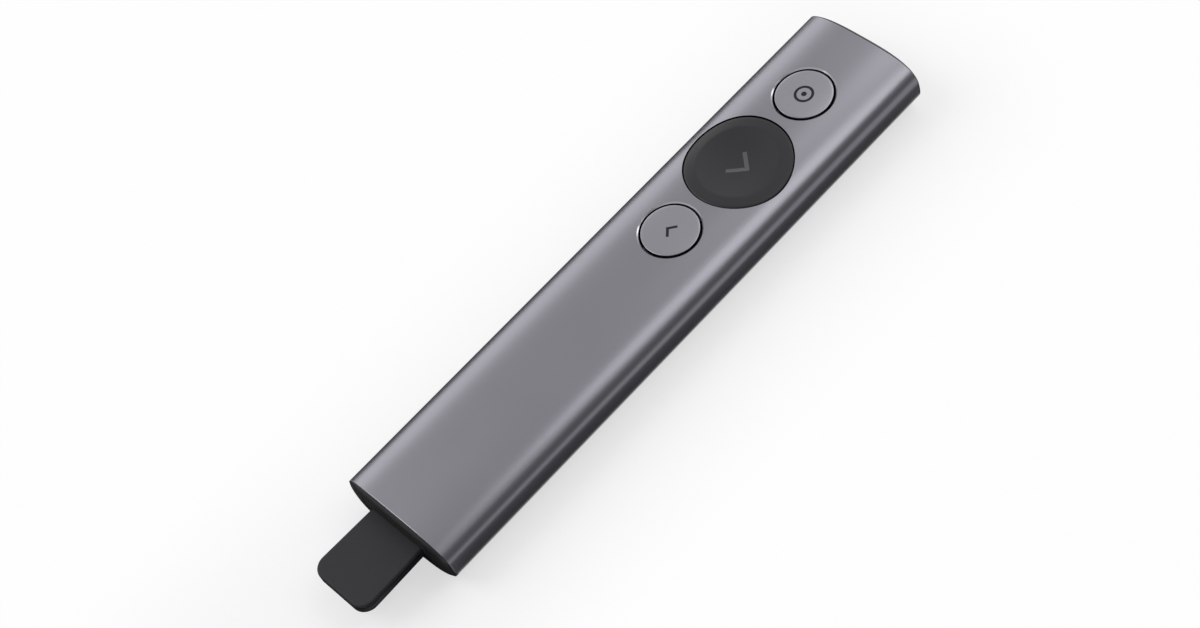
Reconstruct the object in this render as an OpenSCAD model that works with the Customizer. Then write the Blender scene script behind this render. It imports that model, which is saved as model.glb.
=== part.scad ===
// Slide clicker: a pebble-section metal tube with three thumb buttons and a pull-out receiver in its tail.
// X is across the body, +Y is the end that points at the screen, +Z is the button face.
// The body lies on Z = 0, and the origin is under the middle of the whole length.

/* [Tube] */
// Length of the metal tube
tube_l = 129.3; // [124:0.1:140]
// Width of the tube
body_w = 28.1; // [27.6:0.1:32]
// Thickness of the tube
body_t = 12.1; // [12:0.1:14]
// Wall of the tube
tube_wall = 1; // [0.8:0.05:1.1]
// How square the rounded section is, where 2 is an ellipse
section_power = 2.9; // [2.7:0.1:4]
// Width of the narrow flat that the body rests on
belly_flat_w = 8; // [5:0.5:11]

/* [End caps] */
// How far each black end cap bulges past the tube
end_bulge = 1; // [0.6:0.1:1.6]
// How flat the bulge is in its middle
bulge_power = 8.5; // [4:0.5:10]
// How deep each cap's collar goes into the tube
collar_l = 5; // [3:0.5:8]
// Wall of the collars and of the receiver's bay
cap_wall = 1.2; // [1:0.1:1.3]

/* [Buttons] */
// From the middle of the large button to the tube's front edge
next_from_front = 35.9; // [34:0.1:40]
// Metal left between two neighbouring button holes
button_gap = 2.2; // [1.8:0.1:4]
// Hole for the large button
big_hole_d = 21.8; // [20:0.1:22.4]
// Hole for each small button
small_hole_d = 12.2; // [11:0.1:13]
// Bright chamfer round each small hole
hole_chamfer = 0.45; // [0.2:0.05:0.6]
// Width of the thumb dish in the large button
dish_d = 16.6; // [14:0.1:18]
// Depth of the thumb dish
dish_depth = 0.9; // [0.5:0.05:1]
// Thickness of the large cap at its rim
big_cap_t = 1.8; // [1.7:0.05:2]
// Thickness of each small cap
small_cap_t = 1.5; // [1.3:0.05:1.7]
// How deep the large cap's skirt hangs below the button face
skirt_l = 2.8; // [2.6:0.05:3]
// How far a pressed button goes down
press_travel = 0.3; // [0.2:0.05:0.35]

/* [Button works] */
// Thickness of the carrier plate under each cap
carrier_t = 0.8; // [0.6:0.05:0.9]
// Width of the retaining hooks
hook_w = 5; // [3:0.5:6]
// How far a hook reaches under the tube past its hole
hook_reach = 0.7; // [0.6:0.05:0.9]
// Rise that leaves the hooks just under the tube
stop_gap = 0.2; // [0.1:0.05:0.3]
// Thickness of the stem under each carrier
stem_d = 2.4; // [2:0.1:3]
// Side of each square switch
switch_w = 5.2; // [4.5:0.1:6]
// Height of each switch on its board
switch_t = 2.2; // [1.9:0.1:2.4]
// Width of the round nub that the stem pushes
nub_d = 1.8; // [1.5:0.1:2]
// How far a nub stands out of its switch
nub_out = 0.9; // [0.7:0.1:1.1]
// How far a nub goes into its switch
nub_in = 1.1; // [0.9:0.1:1.3]

/* [Receiver] */
// How far the rubber strap sticks out of the rear cap
strap_out = 15.4; // [10:0.1:25]
// Width of the strap where it leaves the cap
strap_root_w = 13.9; // [11:0.1:14.5]
// Width of the strap at its tip
strap_tip_w = 14.5; // [11:0.1:16]
// Thickness of the strap
strap_t = 2.5; // [1.6:0.1:3]
// Rounding of the strap's two far corners
strap_corner_r = 3; // [1:0.1:5]
// How deep the strap is moulded into the housing
strap_root_l = 2.5; // [1.5:0.1:3]
// Length of the receiver's housing
housing_l = 12.8; // [11:0.1:14]
// From each side of the receiver's housing to the tube's side
housing_from_side = 5.4; // [5:0.1:6.4]
// Thickness of the receiver's housing
housing_t = 6.6; // [6:0.1:6.8]
// Length of the plug that goes into a computer
plug_l = 12.2; // [11.8:0.1:12.6]
// Width of the plug
plug_w = 12; // [11.8:0.1:12.1]
// Thickness of the plug
plug_t = 4.5; // [4.4:0.1:4.6]
// Sheet that the plug is folded from
plug_skin = 0.3; // [0.25:0.05:0.35]
// Thickness of the receiver's circuit board
stick_board_t = 0.8; // [0.6:0.1:1]

/* [Board] */
// From the main board's front edge to the tube's front edge
board_from_front = 8.7; // [7.5:0.1:10]
// From each side of the main board to the tube's side
board_from_side = 3.05; // [2.9:0.05:4]
// Thickness of the main board
board_t = 0.8; // [0.6:0.1:1]
// Thickness of the chassis floor
chassis_floor_t = 1; // [0.8:0.1:1.2]
// Room between the chassis floor and the board
under_board_gap = 1.25; // [1:0.05:1.4]
// Width of each chassis rail
rail_w = 1.5; // [1:0.1:2]
// Shank of the two board screws
screw_d = 1.4; // [1.2:0.1:1.6]

/* [Battery and motor] */
// Gap between the charging port and the battery
battery_from_port = 3.05; // [2.8:0.05:6]
// From the battery to the middle of the rear button, with room for the plug and the motor
battery_from_back = 12.2; // [11.5:0.1:16]
// From each side of the battery to the board's edge
battery_inset = 1; // [0.8:0.1:3]
// Room between the battery and the roof of the tube
battery_headroom = 1.3; // [1.2:0.1:2.5]
// Thickness of the foam tape under the battery
pad_t = 0.4; // [0.3:0.1:0.6]
// Width of the buzzer motor's round can
motor_d = 3.6; // [3.2:0.1:4]
// Length of the motor's can
motor_l = 7.5; // [7:0.1:8.5]
// Radius of the off-centre weight
weight_r = 1.7; // [1.4:0.1:1.8]
// Length of the off-centre weight
weight_l = 2.8; // [2.2:0.1:3]
// Thickness of the motor's shaft
shaft_d = 0.8; // [0.6:0.1:1]

/* [Charging port] */
// Width of the port's metal shell
port_w = 8.94; // [8.8:0.02:9]
// Height of the port's metal shell
port_t = 3.16; // [3.1:0.02:3.2]
// Length of the port's metal shell
port_l = 7.35; // [7:0.05:8]
// Sheet that the port is folded from
port_skin = 0.3; // [0.25:0.05:0.35]

/* [Clearances] */
// Gap between the tube and what slides into it
fit_gap = 0.15; // [0.1:0.01:0.2]
// Gap round each button cap
cap_gap = 0.18; // [0.12:0.01:0.22]
// Gap round the receiver in its bay
bay_gap = 0.15; // [0.1:0.01:0.2]
// Running gap round shafts, nubs and screws
run_gap = 0.05; // [0.03:0.01:0.08]
// Gap that keeps two inner parts apart
part_gap = 0.2; // [0.1:0.01:0.25]

/* [Hidden] */

$fn = 64;
overrun = 1;
section_points = 96;
bulge_steps = 6;
bulge_core_share = 0.5;
bulge_spread = 1.4;

// Heights
cut_share = 1 - pow(1 - pow(belly_flat_w / body_w, section_power), 1 / section_power);
half_t = body_t / (2 - cut_share);
mid_z = body_t - half_t;
inner_top_z = body_t - tube_wall;
hook_top_z = inner_top_z - stop_gap;
board_z = tube_wall + fit_gap + chassis_floor_t + under_board_gap;
board_top_z = board_z + board_t;
switch_top_z = board_top_z + switch_t;
nub_top_z = switch_top_z + nub_out;
stick_z = body_t / 2;

// Lengths along the body
rear_y = (strap_out - tube_l) / 2;
front_y = rear_y + tube_l;
button_pitch = (big_hole_d + small_hole_d) / 2 + button_gap;
next_y = front_y - next_from_front;
pointer_y = next_y + button_pitch;
back_y = next_y - button_pitch;
housing_y = rear_y - end_bulge;
plug_y = housing_y + housing_l;
plug_end_y = plug_y + plug_l;
bay_end_y = plug_end_y + part_gap;
board_y = bay_end_y + cap_wall + part_gap;
board_end_y = front_y - board_from_front;
port_y = board_y;
battery_y = port_y + port_l + battery_from_port;
battery_end_y = back_y - battery_from_back;

// Sizes that follow the tube
housing_w = body_w - 2 * housing_from_side;
board_w = body_w - 2 * board_from_side;
board_l = board_end_y - board_y;
battery_w = board_w - 2 * battery_inset;
battery_l = battery_end_y - battery_y;
battery_t = inner_top_z - battery_headroom - board_top_z - pad_t;

// Button caps
cap_sink = 0.05;
skirt_wall = 1.2;
big_cap_r = big_hole_d / 2 - cap_gap;
small_cap_r = small_hole_d / 2 - cap_gap;
carrier_inset = 0.3;
dish_r = (dish_d * dish_d / 4 + dish_depth * dish_depth) / (2 * dish_depth);

// Chassis and screws
chassis_lip = 1.2;
window_count = 4;
window_bar_w = 5;
window_from_side = 5;
window_l = board_l / (window_count + 1) - window_bar_w;
window_w = board_w - 2 * window_from_side;
boss_d = 3.6;
screw_head_d = 2.6;
screw_head_t = 0.7;
screw_l = 1.5;
screw_from_side = 2.6;
screw_from_end = 4.2;
driver_slot_w = 0.4;
driver_slot_l = 1.6;
driver_slot_depth = 0.35;

// Battery parts
cell_edge_r = 2;
socket_l = 3.2;
socket_w = 5;
socket_t = 2.4;
socket_wall = 0.5;
socket_from_side = 0.9;
socket_x = socket_from_side + socket_w / 2 - board_w / 2;
socket_from_battery = 3.4;
socket_y = battery_end_y + socket_from_battery;
pin_d = 0.5;
pin_pitch = 1.6;
plug_body_out = 1;
lead_d = 0.9;
lead_sides = 8;

// Motor parts
cradle_wall = 0.5;
motor_x = 0.8;
motor_from_battery = 4;
motor_y = battery_end_y + motor_from_battery;
motor_z = board_top_z + cradle_wall + motor_d / 2;
motor_gap = 0.3;
shaft_in = 2.5;
weight_cut_share = 0.1;

// Charging port parts
port_tongue_w = 6.7;
port_tongue_t = 0.7;
port_tongue_l = 4.6;
port_z = board_top_z + port_t / 2;

// Chips on the board
chip_t = 0.9;
radio_w = 7;
radio_y = (back_y + next_y) / 2;
radio_x = -2;
crystal_w = 2;
crystal_l = 2.5;
crystal_t = 0.7;
crystal_x = 4;
can_w = 14;
can_l = 9;
can_t = 1.8;
can_skin = 0.2;
sensor_w = 3;
sensor_y = (next_y + pointer_y) / 2;
antenna_w = 6;
antenna_l = 2;
antenna_t = 1.2;
antenna_from_end = 1;
antenna_from_side = 1;
antenna_x = antenna_from_side + antenna_w / 2 - board_w / 2;
charge_chip_w = 2.4;
charge_chip_from_side = 1.5;
charge_chip_x = board_w / 2 - charge_chip_from_side - charge_chip_w / 2;
charge_chip_y = (port_y + port_l + battery_y) / 2;

// Bay spring
spring_t = 0.2;
spring_h = 3;
spring_l = 8;
spring_foot_l = 1.6;
spring_window_h = 3.6;
spring_from_rear = 2.2;

// Receiver parts
stick_board_w = 11;
stick_board_from_strap = 0.7;
stick_board_in = housing_l - strap_root_l - stick_board_from_strap;
stick_board_out = 11.6;
tongue_t = 1.1;
plug_hole_w = 2.4;
plug_hole_l = 2;
plug_hole_x = 3;
plug_hole_from_tip = 5.2;
contact_w = 1;
contact_l = 7;
contact_t = 0.15;
contact_pitch = 2.3;
contact_from_tip = 1.2;
stick_chip_w = 5;
stick_chip_t = 0.9;
stick_board_drop_share = 0.2;
stick_board_z = stick_z - stick_board_drop_share * stick_board_t;

// Outline of the pebble section, drawn in by an inset, with its belly cut flat
function pebble(inset, flat) = [
    for (i = [0 : section_points - 1])
        let (a = 360 * i / section_points,
             x = sign(cos(a)) * pow(abs(cos(a)), 2 / section_power),
             z = sign(sin(a)) * pow(abs(sin(a)), 2 / section_power))
        [(body_w / 2 - inset) * x,
         max((half_t - inset) * z, flat ? -mid_z : -half_t)]];

// Straight length of the section along the body
module pebble_bar(inset, from_y, to_y, flat = false) {
    translate([0, to_y, mid_z])
        rotate([90, 0, 0])
            linear_extrude(to_y - from_y)
                polygon(pebble(inset, flat));
}

// Block given by its middle in X, its rear face in Y and its lower face in Z
module block(w, l, t, x = 0, y = 0, z = 0) {
    translate([x - w / 2, y, z])
        cube([w, l, t]);
}

// Upright disc given by its middle and its lower face
module disc(r, t, x = 0, y = 0, z = 0) {
    translate([x, y, z])
        cylinder(h = t, r = r);
}

// Flat bar with rounded ends, lying along Y
module round_bar(w, t, l, r, y, z) {
    translate([0, y + l, z])
        rotate([90, 0, 0])
            linear_extrude(l) {
                square([w, t - 2 * r], center = true);
                square([w - 2 * r, t], center = true);
                for (sx = [-1, 1])
                    for (sz = [-1, 1])
                        translate([sx * (w / 2 - r), sz * (t / 2 - r)])
                            circle(r);
            }
}

// Low pillow that closes an end of the tube and bulges towards -Y
module end_pillow() {
    rho = [for (i = [0 : bulge_steps]) 1 - (1 - bulge_core_share) * pow(i / bulge_steps, bulge_spread)];
    rise = [for (r = rho) end_bulge * (1 - pow(r, bulge_power)) / (1 - pow(bulge_core_share, bulge_power))];
    ring = pebble(0, true);
    n = len(ring);
    points = [for (i = [0 : bulge_steps]) for (p = ring) [p[0] * rho[i], p[1] * rho[i], rise[i]]];
    sides = [for (i = [0 : bulge_steps - 1]) for (j = [0 : n - 1])
        [i * n + j, (i + 1) * n + j, (i + 1) * n + (j + 1) % n, i * n + (j + 1) % n]];
    foot = [for (j = [0 : n - 1]) j];
    top = [for (j = [0 : n - 1]) bulge_steps * n + n - 1 - j];
    translate([0, 0, mid_z])
        rotate([90, 0, 0])
            polyhedron(points, concat([foot, top], sides));
}

// Ring that seats a cap inside the tube, from the tube's edge inwards
module collar() {
    difference() {
        pebble_bar(tube_wall + fit_gap, 0, collar_l);
        pebble_bar(tube_wall + fit_gap + cap_wall, -overrun, collar_l + overrun);
    }
}

// Metal tube with its three button holes
module body_shell() {
    color("dimgray")
        difference() {
            pebble_bar(0, rear_y, front_y, true);
            pebble_bar(tube_wall, rear_y - overrun, front_y + overrun);
            disc(big_hole_d / 2, body_t, 0, next_y, mid_z);
            for (y = [pointer_y, back_y])
                small_hole(y);
        }
}

// One small button hole with its chamfer
module small_hole(y) {
    disc(small_hole_d / 2, body_t, 0, y, mid_z);
    translate([0, y, body_t - hole_chamfer])
        cylinder(h = 2 * hole_chamfer, r1 = small_hole_d / 2, r2 = small_hole_d / 2 + 2 * hole_chamfer);
}

// Black cap at the pointing end
module front_cap() {
    color("black")
        translate([0, front_y, 0])
            mirror([0, 1, 0]) {
                end_pillow();
                collar();
            }
}

// Black cap at the tail, with the receiver's bay behind its mouth
module rear_cap() {
    color("black")
        difference() {
            union() {
                translate([0, rear_y, 0]) {
                    end_pillow();
                    collar();
                }
                intersection() {
                    pebble_bar(tube_wall + fit_gap, rear_y, bay_end_y + cap_wall);
                    bay_sleeves();
                }
            }
            bay_hollow();
        }
}

// Outer block of the bay: wide for the housing, narrow for the plug
module bay_sleeves() {
    grow = 2 * (bay_gap + cap_wall);
    block(housing_w + grow, plug_y + cap_wall - rear_y, housing_t + grow,
          0, rear_y, stick_z - (housing_t + grow) / 2);
    block(plug_w + grow, bay_end_y + cap_wall - plug_y, plug_t + grow,
          0, plug_y, stick_z - (plug_t + grow) / 2);
}

// Hollow of the bay, with the port's window in its end and a spring window in each side
module bay_hollow() {
    wide = 2 * bay_gap;
    block(housing_w + wide, plug_y + bay_gap - housing_y + overrun, housing_t + wide,
          0, housing_y - overrun, stick_z - housing_t / 2 - bay_gap);
    block(plug_w + wide, bay_end_y - plug_y, plug_t + wide, 0, plug_y, stick_z - plug_t / 2 - bay_gap);
    block(port_w + 2 * part_gap, cap_wall + 2 * overrun, port_t + 2 * part_gap,
          0, bay_end_y - overrun, port_z - port_t / 2 - part_gap);
    block(housing_w + 2 * (bay_gap + cap_wall) + 2 * overrun, spring_l - 2 * spring_foot_l, spring_window_h,
          0, rear_y + spring_from_rear + spring_foot_l, stick_z - spring_window_h / 2);
}

// Cap of a button: a disc whose top follows the tube
module button_cap(r, floor_z, y) {
    intersection() {
        disc(r, body_t, 0, y, floor_z);
        translate([0, 0, -cap_sink])
            pebble_bar(0, y - 2 * r, y + 2 * r);
    }
}

// Plate under a cap, with two hooks that stop under the tube and a stem down to the nub
module button_carrier(cap_r, hole_d, plate_z, y) {
    reach = hole_d / 2 + hook_reach;
    disc(cap_r - skirt_wall - carrier_inset, carrier_t, 0, y, plate_z);
    block(hook_w, 2 * reach, carrier_t, 0, y - reach, plate_z);
    for (s = [-1, 1])
        block(hook_w, hook_reach - cap_gap, hook_top_z - plate_z,
              0, y + s * (reach - (hook_reach - cap_gap) / 2) - (hook_reach - cap_gap) / 2, plate_z);
    disc(stem_d / 2, plate_z - nub_top_z + carrier_t, 0, y, nub_top_z);
}

// Round nub that stands out of a switch
module switch_nub(y) {
    color("dimgray")
        disc(nub_d / 2, nub_out + nub_in, 0, y, switch_top_z - nub_in);
}

// Square switch with a round bore for its nub
module tact_switch(y) {
    color("silver")
        difference() {
            block(switch_w, switch_w, switch_t, 0, y - switch_w / 2, board_top_z);
            disc(nub_d / 2 + run_gap, switch_t, 0, y, switch_top_z - nub_in - press_travel - stop_gap / 2);
        }
}

module pointer_cap() {
    color("gray")
        button_cap(small_cap_r, body_t - small_cap_t, pointer_y);
}

module pointer_carrier() {
    color("black")
        button_carrier(small_cap_r, small_hole_d, body_t - small_cap_t - carrier_t, pointer_y);
}

module pointer_nub() {
    switch_nub(pointer_y);
}

module pointer_switch() {
    tact_switch(pointer_y);
}

module back_cap() {
    color("gray")
        button_cap(small_cap_r, body_t - small_cap_t, back_y);
}

module back_carrier() {
    color("black")
        button_carrier(small_cap_r, small_hole_d, body_t - small_cap_t - carrier_t, back_y);
}

module back_nub() {
    switch_nub(back_y);
}

module back_switch() {
    tact_switch(back_y);
}

// Large cap: a shallow cup with a thumb dish, notched where the hooks pass
module next_cap() {
    notch = hook_w + 2 * part_gap;
    color("darkslategray")
        difference() {
            button_cap(big_cap_r, body_t - skirt_l, next_y);
            translate([0, next_y, body_t - cap_sink - dish_depth + dish_r])
                sphere(dish_r, $fn = 128);
            disc(big_cap_r - skirt_wall, skirt_l, 0, next_y, body_t - big_cap_t - skirt_l);
            block(notch, 2 * big_hole_d, skirt_l, 0, next_y - big_hole_d, body_t - big_cap_t - skirt_l);
        }
}

module next_carrier() {
    color("black")
        button_carrier(big_cap_r, big_hole_d, body_t - big_cap_t - carrier_t, next_y);
}

module next_nub() {
    switch_nub(next_y);
}

module next_switch() {
    tact_switch(next_y);
}

// Places of the two board screws
rear_screw = [screw_from_side - board_w / 2, board_y + screw_from_end];
front_screw = [board_w / 2 - screw_from_side, board_end_y - screw_from_end];

// Moulded tray under the board, shaped to the tube's floor
module chassis() {
    lip_y = board_y - chassis_lip;
    lip_l = board_l + 2 * chassis_lip;
    color("darkgray")
        difference() {
            intersection() {
                pebble_bar(tube_wall + fit_gap, lip_y, lip_y + lip_l);
                union() {
                    block(board_w, lip_l, tube_wall + fit_gap + chassis_floor_t, 0, lip_y, 0);
                    for (s = [-1, 1])
                        block(rail_w, lip_l, board_z, s * (board_w - rail_w) / 2, lip_y, 0);
                    for (p = [rear_screw, front_screw])
                        disc(boss_d / 2, board_z, p[0], p[1], 0);
                }
            }
            for (i = [1 : window_count])
                block(window_w, window_l, board_z,
                      0, board_y + board_l * i / (window_count + 1) - window_l / 2, 0);
            for (p = [rear_screw, front_screw])
                disc(screw_d / 2 + run_gap, board_z, p[0], p[1], board_z - screw_l);
        }
}

module main_board() {
    color("darkgreen")
        difference() {
            block(board_w, board_l, board_t, 0, board_y, board_z);
            for (p = [rear_screw, front_screw])
                disc(screw_d / 2 + run_gap, board_t + 2 * overrun, p[0], p[1], board_z - overrun);
        }
}

// Pan-head screw through the board into a chassis boss
module board_screw(p) {
    color("silver")
        difference() {
            union() {
                disc(screw_head_d / 2, screw_head_t, p[0], p[1], board_top_z);
                disc(screw_d / 2, screw_l + board_t - part_gap, p[0], p[1], board_z - screw_l + part_gap);
            }
            for (a = [0, 90])
                translate([p[0], p[1], board_top_z + screw_head_t - driver_slot_depth])
                    rotate([0, 0, a])
                        block(driver_slot_l, driver_slot_w, overrun, 0, -driver_slot_w / 2, 0);
        }
}

module board_screw_rear() {
    board_screw(rear_screw);
}

module board_screw_front() {
    board_screw(front_screw);
}

// Pouch cell with rounded long edges
module battery_cell() {
    color("silver")
        round_bar(battery_w, battery_t, battery_l, cell_edge_r,
                  battery_y, board_top_z + pad_t + battery_t / 2);
}

module battery_pad() {
    color("black")
        block(battery_w - 2 * cell_edge_r, battery_l, pad_t, 0, battery_y, board_top_z);
}

// Open box on the board with its two pins
module battery_socket() {
    color("ivory")
        difference() {
            block(socket_w, socket_l, socket_t, socket_x, socket_y, board_top_z);
            block(socket_w - 2 * socket_wall, socket_l, socket_t,
                  socket_x, socket_y - socket_wall, board_top_z + socket_wall);
        }
    color("gold")
        for (s = [-1, 1])
            translate([socket_x + s * pin_pitch / 2,
                       socket_y + socket_l - socket_wall / 2,
                       board_top_z + socket_t / 2])
                rotate([90, 0, 0])
                    cylinder(h = socket_l - 2 * socket_wall, d = pin_d);
}

// Plug on the leads, bored for the two pins
module battery_plug() {
    w = socket_w - 2 * socket_wall - 2 * run_gap;
    color("white")
        difference() {
            block(w, socket_l - socket_wall + plug_body_out, socket_t - 2 * socket_wall,
                  socket_x, socket_y - plug_body_out, board_top_z + socket_wall);
            for (s = [-1, 1])
                translate([socket_x + s * pin_pitch / 2, socket_y + socket_l, board_top_z + socket_t / 2])
                    rotate([90, 0, 0])
                        cylinder(h = socket_l, d = pin_d + 2 * run_gap);
        }
}

// Tube swept along the points of a lead, level rings joined by triangles
module lead_tube(points) {
    n = len(points);
    function way(i) = points[min(i + 1, n - 1)] - points[max(i - 1, 0)];
    ring_points = [for (i = [0 : n - 1])
        let (d = way(i) / norm(way(i)),
             u = cross(d, [1, 0, 0]) / norm(cross(d, [1, 0, 0])),
             v = cross(d, u))
        for (k = [0 : lead_sides - 1])
            points[i] + lead_d / 2 * (cos(360 * k / lead_sides) * u + sin(360 * k / lead_sides) * v)];
    sides = [for (i = [0 : n - 2]) for (k = [0 : lead_sides - 1])
        let (a = i * lead_sides + k, b = i * lead_sides + (k + 1) % lead_sides)
        each [[a, a + lead_sides, b + lead_sides], [a, b + lead_sides, b]]];
    start = [for (k = [0 : lead_sides - 1]) k];
    finish = [for (k = [0 : lead_sides - 1]) n * lead_sides - 1 - k];
    polyhedron(ring_points, concat([start, finish], sides));
}

// Lead from the cell's front edge down into the plug
module battery_lead(side) {
    x = socket_x + side * pin_pitch / 2;
    from = [x, battery_end_y, board_top_z + pad_t + battery_t / 2];
    to = [x, socket_y - plug_body_out, board_top_z + socket_t / 2];
    span = to - from;
    drop_shares = [0, 0, 0.1, 0.3, 0.5, 0.7, 0.9, 1, 1];
    steps = len(drop_shares) - 1;
    lead_tube([for (i = [0 : steps]) from + [0, span[1] * i / steps, span[2] * drop_shares[i]]]);
}

module battery_lead_plus() {
    color("red")
        battery_lead(1);
}

module battery_lead_minus() {
    color("black")
        battery_lead(-1);
}

// Cylinder lying across the body
module cross_rod(d, l, x) {
    translate([x, motor_y, motor_z])
        rotate([0, 90, 0])
            cylinder(h = l, d = d);
}

// Rubber cradle that holds the motor's can to the board
module motor_cradle() {
    w = motor_d + 2 * cradle_wall;
    color("black")
        difference() {
            block(motor_l - 2 * cradle_wall, w, motor_z - board_top_z,
                  motor_x + motor_l / 2, motor_y - w / 2, board_top_z);
            cross_rod(motor_d + 2 * run_gap, motor_l + 2 * overrun, motor_x - overrun);
        }
}

module motor_can() {
    color("silver")
        difference() {
            cross_rod(motor_d, motor_l, motor_x);
            cross_rod(shaft_d + 2 * run_gap, shaft_in + overrun, motor_x - overrun);
        }
}

module motor_shaft() {
    color("silver")
        cross_rod(shaft_d, shaft_in - part_gap + motor_gap + weight_l, motor_x - motor_gap - weight_l);
}

// Off-centre weight, stored hanging down
module motor_weight() {
    x = motor_x - motor_gap - weight_l;
    color("gray")
        difference() {
            union() {
                difference() {
                    cross_rod(2 * weight_r, weight_l, x);
                    block(weight_l + 2 * overrun, 4 * weight_r, 2 * weight_r, x + weight_l / 2,
                          motor_y - 2 * weight_r, motor_z + weight_r * weight_cut_share);
                }
                cross_rod(2 * shaft_d, weight_l, x);
            }
            cross_rod(shaft_d, weight_l + 2 * overrun, x - overrun);
        }
}

// Metal shell of the charging port, open towards the bay
module usb_c_shell() {
    color("silver")
        difference() {
            round_bar(port_w, port_t, port_l, port_t / 2 - run_gap, port_y, port_z);
            round_bar(port_w - 2 * port_skin, port_t - 2 * port_skin, port_l,
                      port_t / 2 - port_skin - run_gap, port_y - port_skin, port_z);
        }
}

module usb_c_tongue() {
    color("black")
        block(port_tongue_w, port_tongue_l, port_tongue_t,
              0, port_y + port_l - port_skin - port_tongue_l, port_z - port_tongue_t / 2);
}

// Square chip on the main board, given by its middle
module board_chip(w, x, y) {
    color("black")
        block(w, w, chip_t, x, y - w / 2, board_top_z);
}

module charge_chip() {
    board_chip(charge_chip_w, charge_chip_x, charge_chip_y);
}

module radio_chip() {
    board_chip(radio_w, radio_x, radio_y);
}

module motion_sensor() {
    board_chip(sensor_w, 0, sensor_y);
}

module crystal() {
    color("silver")
        block(crystal_w, crystal_l, crystal_t, crystal_x, radio_y - crystal_l / 2, board_top_z);
}

// Tin can over the radio chip, open to the board
module shield_can() {
    color("silver")
        difference() {
            block(can_w, can_l, can_t, 0, radio_y - can_l / 2, board_top_z);
            block(can_w - 2 * can_skin, can_l - 2 * can_skin, can_t,
                  0, radio_y - can_l / 2 + can_skin, board_top_z - can_skin);
        }
}

module antenna() {
    color("white")
        block(antenna_w, antenna_l, antenna_t,
              antenna_x, board_end_y - antenna_from_end - antenna_l, board_top_z);
}

// Leaf spring on the bay's side, bent in through its window towards the housing
module bay_spring(side) {
    wall_x = housing_w / 2 + bay_gap + cap_wall;
    tip_x = housing_w / 2 + bay_gap;
    y0 = rear_y + spring_from_rear;
    knees = [y0, y0 + spring_foot_l, y0 + spring_l / 2, y0 + spring_l - spring_foot_l, y0 + spring_l];
    outline = concat(
        [[wall_x, knees[0]], [wall_x, knees[1]], [tip_x, knees[2]], [wall_x, knees[3]], [wall_x, knees[4]]],
        [[wall_x + spring_t, knees[4]], [wall_x + spring_t, knees[3]], [tip_x + spring_t, knees[2]],
         [wall_x + spring_t, knees[1]], [wall_x + spring_t, knees[0]]]);
    color("silver")
        mirror([side < 0 ? 1 : 0, 0, 0])
            translate([0, 0, stick_z - spring_h / 2])
                linear_extrude(spring_h)
                    polygon(outline);
}

module bay_spring_left() {
    bay_spring(-1);
}

module bay_spring_right() {
    bay_spring(1);
}

// Rubber pull strap, a little wider at its rounded tip
module receiver_strap() {
    r = strap_corner_r;
    tip_y = housing_y - strap_out;
    color("black")
        translate([0, 0, stick_z - strap_t / 2])
            linear_extrude(strap_t)
                union() {
                    hull() {
                        for (s = [-1, 1])
                            translate([s * (strap_tip_w / 2 - r), tip_y + r])
                                circle(r, $fn = 32);
                        translate([-strap_root_w / 2, housing_y - run_gap])
                            square([strap_root_w, run_gap]);
                    }
                    translate([-strap_root_w / 2 + run_gap, housing_y - run_gap])
                        square([strap_root_w - 2 * run_gap, strap_root_l]);
                }
}

// Housing of the receiver, pocketed for the strap and for its board
module receiver_housing() {
    deep = stick_board_in + part_gap;
    color("black")
        difference() {
            block(housing_w, housing_l, housing_t, 0, housing_y, stick_z - housing_t / 2);
            block(strap_root_w, strap_root_l + overrun, strap_t + 2 * run_gap,
                  0, housing_y - overrun, stick_z - strap_t / 2 - run_gap);
            block(plug_w - 2 * plug_skin - 2 * run_gap, deep + overrun, plug_t - 2 * plug_skin - 2 * run_gap,
                  0, plug_y - deep, stick_z - plug_t / 2 + plug_skin + run_gap);
        }
}

// Folded metal plug with its two pairs of square holes
module receiver_plug_shell() {
    color("silver")
        difference() {
            block(plug_w, plug_l, plug_t, 0, plug_y, stick_z - plug_t / 2);
            block(plug_w - 2 * plug_skin, plug_l + 2 * overrun, plug_t - 2 * plug_skin,
                  0, plug_y - overrun, stick_z - plug_t / 2 + plug_skin);
            for (s = [-1, 1])
                block(plug_hole_w, plug_hole_l, plug_t + 2 * overrun,
                      s * plug_hole_x, plug_end_y - plug_hole_from_tip - plug_hole_l,
                      stick_z - plug_t / 2 - overrun);
        }
}

// Plastic back of the plug's tongue, over the board
module receiver_tongue() {
    color("white")
        block(stick_board_w, stick_board_out, tongue_t, 0, plug_y, stick_board_z + stick_board_t);
}

module receiver_board() {
    color("darkgreen")
        block(stick_board_w, stick_board_in + stick_board_out, stick_board_t,
              0, plug_y - stick_board_in, stick_board_z);
}

// Four contacts on the board's underside
module receiver_contacts() {
    color("gold")
        for (i = [-1.5 : 1.5])
            block(contact_w, contact_l, contact_t, i * contact_pitch,
                  plug_y + stick_board_out - contact_from_tip - contact_l, stick_board_z - contact_t);
}

module receiver_chip() {
    color("black")
        block(stick_chip_w, stick_chip_w, stick_chip_t,
              0, plug_y - stick_board_in / 2 - stick_chip_w / 2, stick_board_z + stick_board_t);
}

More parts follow.
